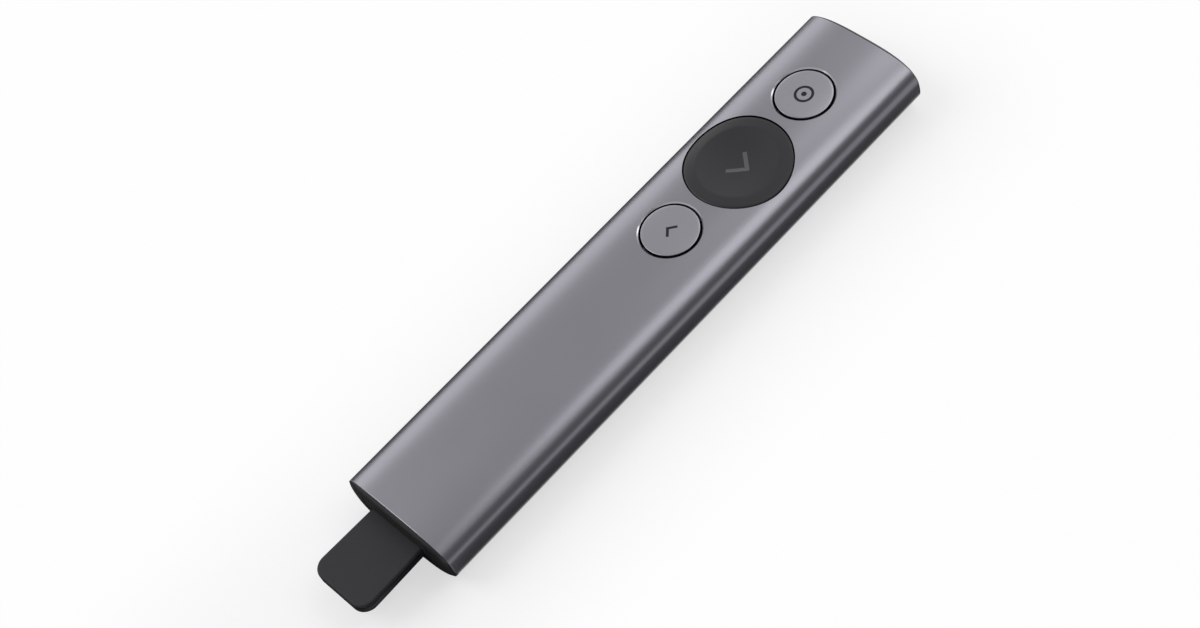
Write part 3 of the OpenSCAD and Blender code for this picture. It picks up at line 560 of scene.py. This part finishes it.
# The switches: three tact switches of 5.2 mm, each a stainless cover folded over a black base, with four
# dimples where the cover is staked and a dark nub of PBT that the stem pushes.
staked, tree, out = fresh("staked_stainless_over_black_base")
place = step(tree, "ShaderNodeTexCoord").outputs["Object"]
axis = step(tree, "ShaderNodeSeparateXYZ", Vector=place)
row = step(tree, "ShaderNodeMath", {"operation": "WRAP"}, i0=axis.outputs["Y"], i1=BACK_Y + 0.0096,
           i2=BACK_Y - 0.0096)
local = step(tree, "ShaderNodeMath", {"operation": "SUBTRACT"}, i0=row.outputs[0], i1=BACK_Y)
off = []
for side in (axis.outputs["X"], local.outputs[0]):
    far = step(tree, "ShaderNodeMath", {"operation": "ABSOLUTE"}, i0=side)
    off.append(step(tree, "ShaderNodeMath", {"operation": "SUBTRACT"}, i0=far.outputs[0], i1=0.0019).outputs[0])
stake = step(tree, "ShaderNodeVectorMath", {"operation": "LENGTH"},
             i0=step(tree, "ShaderNodeCombineXYZ", X=off[0], Y=off[1]).outputs[0])
dimple = step(tree, "ShaderNodeMapRange", {"interpolation_type": "SMOOTHSTEP"}, Value=stake.outputs["Value"],
              From_Min=0.0002, From_Max=0.0005)
cover = step(tree, "ShaderNodeMath", {"operation": "GREATER_THAN"}, i0=axis.outputs["Z"], i1=0.0049)
roll = step(tree, "ShaderNodeTexNoise", Vector=step(tree, "ShaderNodeMapping", Vector=place,
                                                    Scale=(3000.0, 160.0, 3000.0)).outputs[0], Scale=1.0)
steel_tone = step(tree, "ShaderNodeMixRGB", Fac=roll.outputs["Fac"], Color1=srgb("#a5a6a8"), Color2=srgb("#b9babc"))
tone = step(tree, "ShaderNodeMixRGB", Fac=cover.outputs[0], Color1=srgb("#17171a"), Color2=steel_tone.outputs[0])
matt = step(tree, "ShaderNodeMapRange", Value=roll.outputs["Fac"], To_Min=0.24, To_Max=0.36)
lay_skin(tree, out, tone.outputs[0], cover.outputs[0], matt.outputs[0], dimple.outputs[0], 0.00008)
finish_node(staked, "pointer_switch", "next_switch", "back_switch", edge=0.00008)
pbt = moulded_plastic("dark_grey_pbt", "#454240", "#4d4a47", 0.38, 0.0002, 0.000002, 0.5)
finish_node(pbt, "pointer_nub", "next_nub", "back_nub", edge=0.00012)

# The chassis: a tray of glass-filled nylon, shaped to the tube's floor, that carries the board. The short
# glass fibres come up as pale streaks along the flow and leave it dull.
nylon, tree, out = fresh("glass_filled_nylon")
place = step(tree, "ShaderNodeTexCoord").outputs["Object"]
fibre = step(tree, "ShaderNodeTexNoise", Vector=step(tree, "ShaderNodeMapping", Vector=place,
                                                     Scale=(2400.0, 260.0, 2400.0)).outputs[0], Scale=1.0, Detail=3.0)
swirl = step(tree, "ShaderNodeTexNoise", Vector=place, Scale=110.0, Detail=2.0, Distortion=1.2)
flow = step(tree, "ShaderNodeMixRGB", Fac=0.35, Color1=fibre.outputs["Fac"], Color2=swirl.outputs["Fac"])
share = step(tree, "ShaderNodeMapRange", Value=flow.outputs[0], From_Min=0.4, From_Max=0.7)
tone = step(tree, "ShaderNodeMixRGB", Fac=share.outputs[0], Color1=srgb("#2a2b2d"), Color2=srgb("#4b4c4e"))
matt = step(tree, "ShaderNodeMapRange", Value=flow.outputs[0], To_Min=0.5, To_Max=0.7)
lay_skin(tree, out, tone.outputs[0], 0.0, matt.outputs[0], flow.outputs[0], 0.00002, 0.4)
finish_node(nylon, "chassis", edge=0.00012)

# The main board: 0.8 mm of glass-epoxy under green solder mask. Copper runs show through the mask as paler
# lines, gilded rings stand round the vias, and the sawn edges show the bare laminate. The vias' holes are not cut:
# each is a near-black disc of painted shade.
def copper_runs(tree, place, pitch):
    """1 on a board's copper: bundles of parallel runs that jog sideways at 45 degrees."""
    axis = step(tree, "ShaderNodeSeparateXYZ", Vector=place)
    swing = step(tree, "ShaderNodeMath", {"operation": "PINGPONG"}, i0=axis.outputs["Y"], i1=0.0041)
    low = step(tree, "ShaderNodeMath", {"operation": "MAXIMUM"}, i0=swing.outputs[0], i1=0.0012)
    jog = step(tree, "ShaderNodeMath", {"operation": "MINIMUM"}, i0=low.outputs[0], i1=0.0026)
    moved = step(tree, "ShaderNodeMath", {"operation": "ADD"}, i0=axis.outputs["X"], i1=jog.outputs[0])
    lane = step(tree, "ShaderNodeMath", {"operation": "WRAP"}, i0=moved.outputs[0], i1=pitch, i2=0.0)
    line = step(tree, "ShaderNodeMath", {"operation": "COMPARE"}, i0=lane.outputs[0], i1=pitch / 2, i2=pitch * 0.17)
    field = step(tree, "ShaderNodeTexVoronoi", {"voronoi_dimensions": "2D", "distance": "CHEBYCHEV"}, Vector=place,
                 Scale=170.0)
    number = step(tree, "ShaderNodeSeparateColor", Color=field.outputs["Color"])
    bundle = step(tree, "ShaderNodeMath", {"operation": "GREATER_THAN"}, i0=number.outputs[0], i1=0.42)
    return step(tree, "ShaderNodeMath", {"operation": "MULTIPLY"}, i0=line.outputs[0], i1=bundle.outputs[0])


mask, tree, out = fresh("green_solder_mask_on_fr4")
place = step(tree, "ShaderNodeTexCoord").outputs["Object"]
run = copper_runs(tree, place, 0.00055)
via = step(tree, "ShaderNodeTexVoronoi", {"voronoi_dimensions": "2D"}, Vector=place, Scale=260.0, Randomness=0.85)
ring = step(tree, "ShaderNodeMath", {"operation": "COMPARE"}, i0=via.outputs["Distance"], i1=0.065, i2=0.025)
hole = step(tree, "ShaderNodeMath", {"operation": "LESS_THAN"}, i0=via.outputs["Distance"], i1=0.04)
face = step(tree, "ShaderNodeSeparateXYZ", Vector=step(tree, "ShaderNodeNewGeometry").outputs["Normal"])
up = step(tree, "ShaderNodeMath", {"operation": "ABSOLUTE"}, i0=face.outputs["Z"])
flat = step(tree, "ShaderNodeMath", {"operation": "GREATER_THAN"}, i0=up.outputs[0], i1=0.5)
green = step(tree, "ShaderNodeMixRGB", Fac=run.outputs[0], Color1=srgb("#0d4a2c"), Color2=srgb("#1d6b3f"))
gilt = step(tree, "ShaderNodeMixRGB", Fac=ring.outputs[0], Color1=green.outputs[0], Color2=srgb("#d6a94a"))
# painted shade: the via holes are near-black discs in the colour, not cut
vias_with_painted_shade = step(tree, "ShaderNodeMixRGB", Fac=hole.outputs[0], Color1=gilt.outputs[0], Color2=srgb("#0c120d"))
glass = step(tree, "ShaderNodeTexWave", {"bands_direction": "Z"}, Vector=place, Scale=1900.0, Distortion=1.0)
sawn = step(tree, "ShaderNodeMixRGB", Fac=glass.outputs["Fac"], Color1=srgb("#9b9a63"), Color2=srgb("#b8b57c"))
tone = step(tree, "ShaderNodeMixRGB", Fac=flat.outputs[0], Color1=sawn.outputs[0], Color2=vias_with_painted_shade.outputs[0])
shiny = step(tree, "ShaderNodeMath", {"operation": "MULTIPLY"}, i0=ring.outputs[0], i1=flat.outputs[0])
matt = step(tree, "ShaderNodeMapRange", Value=flat.outputs[0], To_Min=0.75, To_Max=0.3)
raised = step(tree, "ShaderNodeMath", {"operation": "ADD"}, i0=run.outputs[0], i1=ring.outputs[0])
lay_skin(tree, out, tone.outputs[0], shiny.outputs[0], matt.outputs[0], raised.outputs[0], 0.00003)
finish_node(mask, "main_board")

# Two pan-head screws hold the board to the chassis. They are zinc-plated steel, faintly blue, with a rolled
# thread below the board.
plated, tree, out = fresh("zinc_plated_steel")
place = step(tree, "ShaderNodeTexCoord").outputs["Object"]
axis = step(tree, "ShaderNodeSeparateXYZ", Vector=place)
turned = step(tree, "ShaderNodeTexNoise", Vector=place, Scale=1800.0, Detail=2.0)
pitch = step(tree, "ShaderNodeTexWave", {"bands_direction": "Z"}, Vector=place, Scale=785.0)
below = step(tree, "ShaderNodeMath", {"operation": "LESS_THAN"}, i0=axis.outputs["Z"], i1=0.0034)
thread = step(tree, "ShaderNodeMath", {"operation": "MULTIPLY"}, i0=pitch.outputs["Fac"], i1=below.outputs[0])
tone = step(tree, "ShaderNodeMixRGB", Fac=turned.outputs["Fac"], Color1=srgb("#a9aeb5"), Color2=srgb("#c3c6ca"))
matt = step(tree, "ShaderNodeMapRange", Value=turned.outputs["Fac"], To_Min=0.2, To_Max=0.34)
lay_skin(tree, out, tone.outputs[0], 1.0, matt.outputs[0], thread.outputs[0], 0.00012)
finish_node(plated, "board_screw_rear", "board_screw_front", edge=0.00008)

# The battery: a lithium pouch of satin aluminium laminate, a little wrinkled, with amber polyimide tape over
# its sealed front end. It lies on a pad of open-cell foam.
pouch, tree, out = fresh("aluminium_laminate_pouch")
place = step(tree, "ShaderNodeTexCoord").outputs["Object"]
axis = step(tree, "ShaderNodeSeparateXYZ", Vector=place)
crease = step(tree, "ShaderNodeTexNoise", Vector=place, Scale=240.0, Detail=4.0, Distortion=0.4)
emboss = step(tree, "ShaderNodeTexVoronoi", Vector=place, Scale=2200.0)
both = step(tree, "ShaderNodeMixRGB", Fac=0.12, Color1=crease.outputs["Fac"], Color2=emboss.outputs["Distance"])
tape = step(tree, "ShaderNodeMath", {"operation": "GREATER_THAN"}, i0=axis.outputs["Y"], i1=0.0026)
foil = step(tree, "ShaderNodeMixRGB", Fac=crease.outputs["Fac"], Color1=srgb("#aeb0b3"), Color2=srgb("#c4c6c8"))
tone = step(tree, "ShaderNodeMixRGB", Fac=tape.outputs[0], Color1=foil.outputs[0], Color2=srgb("#b36f1f"))
bare = step(tree, "ShaderNodeMath", {"operation": "SUBTRACT"}, i0=1.0, i1=tape.outputs[0])
matt = step(tree, "ShaderNodeMapRange", Value=bare.outputs[0], To_Min=0.22, To_Max=0.38)
lay_skin(tree, out, tone.outputs[0], bare.outputs[0], matt.outputs[0], both.outputs[0], 0.00012)
finish_node(pouch, "battery_cell")
foam = moulded_plastic("open_cell_foam", "#3f3f42", "#515154", 0.88, 0.0004, 0.00016, 0.2)
finish_node(foam, "battery_pad")

# Two leads of stranded wire in PVC, red and black, run from the pouch into a small white nylon plug. It sits
# in a socket soldered to the board, whose two pins are gilded.
red_pvc = moulded_plastic("red_pvc_insulation", "#9c1616", "#ad1e1e", 0.34, 0.0006, 0.000004, 0.5)
black_pvc = moulded_plastic("black_pvc_insulation", "#101011", "#171718", 0.34, 0.0006, 0.000004, 0.5)
finish_node(red_pvc, "battery_lead_plus")
finish_node(black_pvc, "battery_lead_minus")
white_nylon = moulded_plastic("white_nylon", "#dedbd1", "#e8e5dc", 0.42, 0.0003, 0.000003, 0.5)
finish_node(white_nylon, "battery_plug", edge=0.00008)
pinned, tree, out = fresh("ivory_nylon_with_gilded_pins")
place = step(tree, "ShaderNodeTexCoord").outputs["Object"]
axis = step(tree, "ShaderNodeSeparateXYZ", Vector=place)
from_middle = step(tree, "ShaderNodeMath", {"operation": "ADD"}, i0=axis.outputs["X"], i1=0.0076)
either = step(tree, "ShaderNodeMath", {"operation": "ABSOLUTE"}, i0=from_middle.outputs[0])
from_pin = step(tree, "ShaderNodeMath", {"operation": "SUBTRACT"}, i0=either.outputs[0], i1=0.0008)
from_level = step(tree, "ShaderNodeMath", {"operation": "SUBTRACT"}, i0=axis.outputs["Z"], i1=0.0054)
radius = step(tree, "ShaderNodeVectorMath", {"operation": "LENGTH"},
              i0=step(tree, "ShaderNodeCombineXYZ", X=from_pin.outputs[0], Z=from_level.outputs[0]).outputs[0])
pin = step(tree, "ShaderNodeMath", {"operation": "LESS_THAN"}, i0=radius.outputs["Value"], i1=0.00032)
cloud = step(tree, "ShaderNodeTexNoise", Vector=place, Scale=900.0, Detail=2.0)
ivory = step(tree, "ShaderNodeMixRGB", Fac=cloud.outputs["Fac"], Color1=srgb("#d3ccb6"), Color2=srgb("#ded8c4"))
tone = step(tree, "ShaderNodeMixRGB", Fac=pin.outputs[0], Color1=ivory.outputs[0], Color2=srgb("#d9ab4c"))
matt = step(tree, "ShaderNodeMapRange", Value=pin.outputs[0], To_Min=0.45, To_Max=0.22)
lay_skin(tree, out, tone.outputs[0], pin.outputs[0], matt.outputs[0], cloud.outputs["Fac"], 0.000004)
finish_node(pinned, "battery_socket", edge=0.00006)

# The buzzer: a tiny motor that shakes the body to warn the speaker. Its can is drawn from nickel-plated steel
# and sits in a rubber cradle. A ground steel shaft turns a heavy weight of sintered tungsten.
across = (14.0, 2600.0, 2600.0)
nickel_can = satin_metal("nickel_plated_drawn_steel", "#a5a4a1", "#b4b3af", 0.24, across, 2000.0)
ground = satin_metal("ground_shaft_steel", "#8f9093", "#a2a3a6", 0.18, (2600.0, 30.0, 30.0), 3300.0)
tungsten = satin_metal("sintered_tungsten", "#5c5b59", "#6c6b68", 0.42, (400.0, 400.0, 400.0), 2200.0, 0.00002)
soft_cradle = moulded_plastic("black_cradle_rubber", "#131314", "#1b1b1c", 0.62, 0.0003, 0.000008, 0.3)
finish_node(nickel_can, "motor_can", edge=0.00020)
finish_node(ground, "motor_shaft", edge=0.00008)
finish_node(tungsten, "motor_weight", edge=0.00008)
finish_node(soft_cradle, "motor_cradle", edge=0.00010)

# The charging port: a shell folded from stainless sheet, and in it a black tongue with twelve gilded
# contacts on each face at 0.5 mm pitch. It can be reached only when the receiver is out.
stainless = satin_metal("folded_stainless_sheet", "#a0a1a3", "#b0b1b3", 0.26, (2600.0, 40.0, 2600.0))
finish_node(stainless, "usb_c_shell", edge=0.00006)
tongue, tree, out = fresh("black_tongue_with_gilded_contacts")
place = step(tree, "ShaderNodeTexCoord").outputs["Object"]
axis = step(tree, "ShaderNodeSeparateXYZ", Vector=place)
face = step(tree, "ShaderNodeSeparateXYZ", Vector=step(tree, "ShaderNodeNewGeometry").outputs["Normal"])
level = step(tree, "ShaderNodeMath", {"operation": "ABSOLUTE"}, i0=face.outputs["Z"])
flat = step(tree, "ShaderNodeMath", {"operation": "GREATER_THAN"}, i0=level.outputs[0], i1=0.7)
pitch = step(tree, "ShaderNodeMath", {"operation": "WRAP"}, i0=axis.outputs["X"], i1=0.0005, i2=0.0)
stripe = step(tree, "ShaderNodeMath", {"operation": "COMPARE"}, i0=pitch.outputs[0], i1=0.00025, i2=0.00013)
width = step(tree, "ShaderNodeMath", {"operation": "COMPARE"}, i0=axis.outputs["X"], i1=0.0, i2=0.0030)
length = step(tree, "ShaderNodeMath", {"operation": "COMPARE"}, i0=axis.outputs["Y"], i1=-0.0270, i2=0.0017)
gold = stripe.outputs[0]
for limit in (width, length, flat):
    gold = step(tree, "ShaderNodeMath", {"operation": "MULTIPLY"}, i0=gold, i1=limit.outputs[0]).outputs[0]
grain = step(tree, "ShaderNodeTexNoise", Vector=place, Scale=2500.0)
black = step(tree, "ShaderNodeMixRGB", Fac=grain.outputs["Fac"], Color1=srgb("#141416"), Color2=srgb("#1d1d1f"))
tone = step(tree, "ShaderNodeMixRGB", Fac=gold, Color1=black.outputs[0], Color2=srgb("#dcae4f"))
matt = step(tree, "ShaderNodeMapRange", Value=gold, To_Min=0.5, To_Max=0.22)
lay_skin(tree, out, tone.outputs[0], gold, matt.outputs[0], gold, 0.00002)
finish_node(tongue, "usb_c_tongue", edge=0.00008)

# The chips: square packages of black epoxy with a fine-blasted top, a round dimple at the first corner, and
# tinned lands along the foot. They carry no marking.
def epoxy_package(name, x, y, half, top=0.0051, foot=0.0045):
    """Black epoxy body about a middle, with its first-corner dimple and the tinned lands at its foot."""
    made, tree, out = fresh(name)
    place = step(tree, "ShaderNodeTexCoord").outputs["Object"]
    axis = step(tree, "ShaderNodeSeparateXYZ", Vector=place)
    corner = step(tree, "ShaderNodeVectorMath", {"operation": "DISTANCE"}, i0=place,
                  i1=(x - half * 0.72, y + half * 0.72, top))
    dimple = step(tree, "ShaderNodeMapRange", {"interpolation_type": "SMOOTHSTEP"}, Value=corner.outputs["Value"],
                  From_Min=half * 0.11, From_Max=half * 0.15)
    blast = step(tree, "ShaderNodeTexNoise", Vector=place, Scale=3300.0, Detail=2.0)
    low = step(tree, "ShaderNodeMath", {"operation": "LESS_THAN"}, i0=axis.outputs["Z"], i1=foot)
    land = low.outputs[0]
    for side, middle in (("X", x), ("Y", y)):
        pitch = step(tree, "ShaderNodeMath", {"operation": "WRAP"}, i0=axis.outputs[side], i1=middle + 0.00025,
                     i2=middle - 0.00025)
        inside = step(tree, "ShaderNodeMath", {"operation": "COMPARE"}, i0=pitch.outputs[0], i1=middle, i2=0.00013)
        edge = step(tree, "ShaderNodeMath", {"operation": "COMPARE"}, i0=axis.outputs[side], i1=middle,
                    i2=half - 0.0002)
        outer = step(tree, "ShaderNodeMath", {"operation": "SUBTRACT"}, i0=1.0, i1=edge.outputs[0])
        either = step(tree, "ShaderNodeMath", {"operation": "MAXIMUM"}, i0=inside.outputs[0], i1=outer.outputs[0])
        land = step(tree, "ShaderNodeMath", {"operation": "MULTIPLY"}, i0=land, i1=either.outputs[0]).outputs[0]
    epoxy = step(tree, "ShaderNodeMixRGB", Fac=blast.outputs["Fac"], Color1=srgb("#1b1c1e"), Color2=srgb("#27282a"))
    tone = step(tree, "ShaderNodeMixRGB", Fac=land, Color1=epoxy.outputs[0], Color2=srgb("#c2c3c4"))
    matt = step(tree, "ShaderNodeMapRange", Value=land, To_Min=0.55, To_Max=0.28)
    height = step(tree, "ShaderNodeMixRGB", Fac=0.12, Color1=dimple.outputs[0], Color2=blast.outputs["Fac"])
    lay_skin(tree, out, tone.outputs[0], land, matt.outputs[0], height.outputs[0], 0.00005)
    return made


finish_node(epoxy_package("charger_epoxy_package", 0.0083, -0.02248, 0.0012), "charge_chip", edge=0.00005)
finish_node(epoxy_package("radio_epoxy_package", -0.0020, 0.02685, 0.0035), "radio_chip", edge=0.00006)
finish_node(epoxy_package("sensor_epoxy_package", 0.0, 0.04605, 0.0015), "motion_sensor", edge=0.00005)

# Over the radio chip stands a can of tin-plated steel, soldered along its foot and pierced with small round
# vents in rows. The vents are not cut here: each is a near-black disc of painted shade with a shallow dent.
# The crystal beside the chip has a ceramic base and a seam-welded metal lid.
pierced, tree, out = fresh("tin_plated_can_with_painted_vent_shade")
place = step(tree, "ShaderNodeTexCoord").outputs["Object"]
axis = step(tree, "ShaderNodeSeparateXYZ", Vector=place)
cell = []
for side, middle, room in (("X", 0.0, 0.0056), ("Y", 0.02685, 0.0030)):
    pitch = step(tree, "ShaderNodeMath", {"operation": "WRAP"}, i0=axis.outputs[side], i1=middle + 0.0008,
                 i2=middle - 0.0008)
    cell.append((step(tree, "ShaderNodeMath", {"operation": "SUBTRACT"}, i0=pitch.outputs[0], i1=middle).outputs[0],
                 step(tree, "ShaderNodeMath", {"operation": "COMPARE"}, i0=axis.outputs[side], i1=middle,
                      i2=room).outputs[0]))
reach = step(tree, "ShaderNodeVectorMath", {"operation": "LENGTH"},
             i0=step(tree, "ShaderNodeCombineXYZ", X=cell[0][0], Y=cell[1][0]).outputs[0])
vent_shade = step(tree, "ShaderNodeMath", {"operation": "LESS_THAN"}, i0=reach.outputs["Value"], i1=0.00032).outputs[0]
for limit in (cell[0][1], cell[1][1]):
    vent_shade = step(tree, "ShaderNodeMath", {"operation": "MULTIPLY"}, i0=vent_shade, i1=limit).outputs[0]
spangle = step(tree, "ShaderNodeTexVoronoi", Vector=place, Scale=420.0)
tin = step(tree, "ShaderNodeMixRGB", Fac=spangle.outputs["Distance"], Color1=srgb("#b7b8b8"), Color2=srgb("#c9c9c8"))
# painted shade: near-black discs where the vents are, with the metal turned off there
tone = step(tree, "ShaderNodeMixRGB", Fac=vent_shade, Color1=tin.outputs[0], Color2=srgb("#0b0b0c"))
solid = step(tree, "ShaderNodeMath", {"operation": "SUBTRACT"}, i0=1.0, i1=vent_shade)
matt = step(tree, "ShaderNodeMapRange", Value=spangle.outputs["Distance"], To_Min=0.24, To_Max=0.36)
lay_skin(tree, out, tone.outputs[0], solid.outputs[0], matt.outputs[0], solid.outputs[0], 0.00010)
finish_node(pierced, "shield_can", edge=0.00010)
lidded, tree, out = fresh("ceramic_base_with_welded_lid")
place = step(tree, "ShaderNodeTexCoord").outputs["Object"]
axis = step(tree, "ShaderNodeSeparateXYZ", Vector=place)
lid = step(tree, "ShaderNodeMath", {"operation": "GREATER_THAN"}, i0=axis.outputs["Z"], i1=0.0046)
speck = step(tree, "ShaderNodeTexNoise", Vector=place, Scale=2600.0, Detail=2.0)
baked = step(tree, "ShaderNodeMixRGB", Fac=speck.outputs["Fac"], Color1=srgb("#4a3d35"), Color2=srgb("#5b4c42"))
tone = step(tree, "ShaderNodeMixRGB", Fac=lid.outputs[0], Color1=baked.outputs[0], Color2=srgb("#c0bfba"))
matt = step(tree, "ShaderNodeMapRange", Value=speck.outputs["Fac"], To_Min=0.24, To_Max=0.4)
lay_skin(tree, out, tone.outputs[0], lid.outputs[0], matt.outputs[0], lid.outputs[0], 0.00004)
finish_node(lidded, "crystal", edge=0.00007)

# The antenna: a bar of glazed white ceramic near the pointing end, with a silvered cap on each end and a
# fired silver conductor that winds over its top.
fired, tree, out = fresh("white_ceramic_with_fired_silver")
place = step(tree, "ShaderNodeTexCoord").outputs["Object"]
axis = step(tree, "ShaderNodeSeparateXYZ", Vector=place)
centred = step(tree, "ShaderNodeMath", {"operation": "ADD"}, i0=axis.outputs["X"], i1=0.0070)
out_from = step(tree, "ShaderNodeMath", {"operation": "ABSOLUTE"}, i0=centred.outputs[0])
end = step(tree, "ShaderNodeMath", {"operation": "GREATER_THAN"}, i0=out_from.outputs[0], i1=0.0024)
pitch = step(tree, "ShaderNodeMath", {"operation": "WRAP"}, i0=axis.outputs["X"], i1=0.0007, i2=0.0)
limb = step(tree, "ShaderNodeMath", {"operation": "COMPARE"}, i0=pitch.outputs[0], i1=0.00035, i2=0.00010)
long_way = step(tree, "ShaderNodeMath", {"operation": "COMPARE"}, i0=axis.outputs["Y"], i1=0.06165, i2=0.00075)
on_top = step(tree, "ShaderNodeMath", {"operation": "GREATER_THAN"}, i0=axis.outputs["Z"], i1=0.00535)
line = limb.outputs[0]
for limit in (long_way, on_top):
    line = step(tree, "ShaderNodeMath", {"operation": "MULTIPLY"}, i0=line, i1=limit.outputs[0]).outputs[0]
silver = step(tree, "ShaderNodeMath", {"operation": "MAXIMUM"}, i0=line, i1=end.outputs[0])
speck = step(tree, "ShaderNodeTexNoise", Vector=place, Scale=2200.0, Detail=2.0)
glaze = step(tree, "ShaderNodeMixRGB", Fac=speck.outputs["Fac"], Color1=srgb("#d9dcdd"), Color2=srgb("#e6e8e8"))
tone = step(tree, "ShaderNodeMixRGB", Fac=silver.outputs[0], Color1=glaze.outputs[0], Color2=srgb("#bdbcb8"))
matt = step(tree, "ShaderNodeMapRange", Value=silver.outputs[0], To_Min=0.18, To_Max=0.36)
lay_skin(tree, out, tone.outputs[0], silver.outputs[0], matt.outputs[0], silver.outputs[0], 0.00002)
finish_node(fired, "antenna", edge=0.00007)

# The bay springs: two bowed strips of cold-rolled stainless spring steel beside the bay, which reach in
# through its windows and brake the receiver. The rolling shows as fine lines along them.
spring_strip = satin_metal("cold_rolled_spring_strip", "#9a9a98", "#aaaaa7", 0.22, (2600.0, 20.0, 2600.0))
finish_node(spring_strip, "bay_spring_left", "bay_spring_right", edge=0.00004)

# The receiver: a black ABS housing with a folded plug of nickel-plated steel. Inside are a black board with
# a blob of epoxy, four gilded contacts on its underside and a white PBT tongue on its back.
plug_steel = satin_metal("nickel_plated_folded_sheet", "#b0afab", "#bebdb9", 0.23, (2600.0, 30.0, 2600.0))
black_mask, tree, out = fresh("black_solder_mask_on_fr4")
place = step(tree, "ShaderNodeTexCoord").outputs["Object"]
run = copper_runs(tree, place, 0.00045)
face = step(tree, "ShaderNodeSeparateXYZ", Vector=step(tree, "ShaderNodeNewGeometry").outputs["Normal"])
level = step(tree, "ShaderNodeMath", {"operation": "ABSOLUTE"}, i0=face.outputs["Z"])
flat = step(tree, "ShaderNodeMath", {"operation": "GREATER_THAN"}, i0=level.outputs[0], i1=0.5)
dark = step(tree, "ShaderNodeMixRGB", Fac=run.outputs[0], Color1=srgb("#111213"), Color2=srgb("#232426"))
tone = step(tree, "ShaderNodeMixRGB", Fac=flat.outputs[0], Color1=srgb("#8b8858"), Color2=dark.outputs[0])
matt = step(tree, "ShaderNodeMapRange", Value=flat.outputs[0], To_Min=0.75, To_Max=0.32)
lay_skin(tree, out, tone.outputs[0], 0.0, matt.outputs[0], run.outputs[0], 0.00003)
gilded = satin_metal("gilded_contact", "#cf9f43", "#dcb055", 0.2, (2600.0, 60.0, 2600.0))
white_pbt = moulded_plastic("white_pbt", "#d6d6d2", "#e0e0dc", 0.4, 0.0003, 0.000003, 0.5)
blob = moulded_plastic("dripped_black_epoxy", "#0d0d0e", "#131314", 0.16, 0.0012, 0.00002, 0.5)
finish_node(black_abs, "receiver_housing", edge=0.00035)
finish_node(plug_steel, "receiver_plug_shell", edge=0.00012)
finish_node(black_mask, "receiver_board")
finish_node(gilded, "receiver_contacts", edge=0.00004)
finish_node(white_pbt, "receiver_tongue", edge=0.00015)
finish_node(blob, "receiver_chip", edge=0.00025)
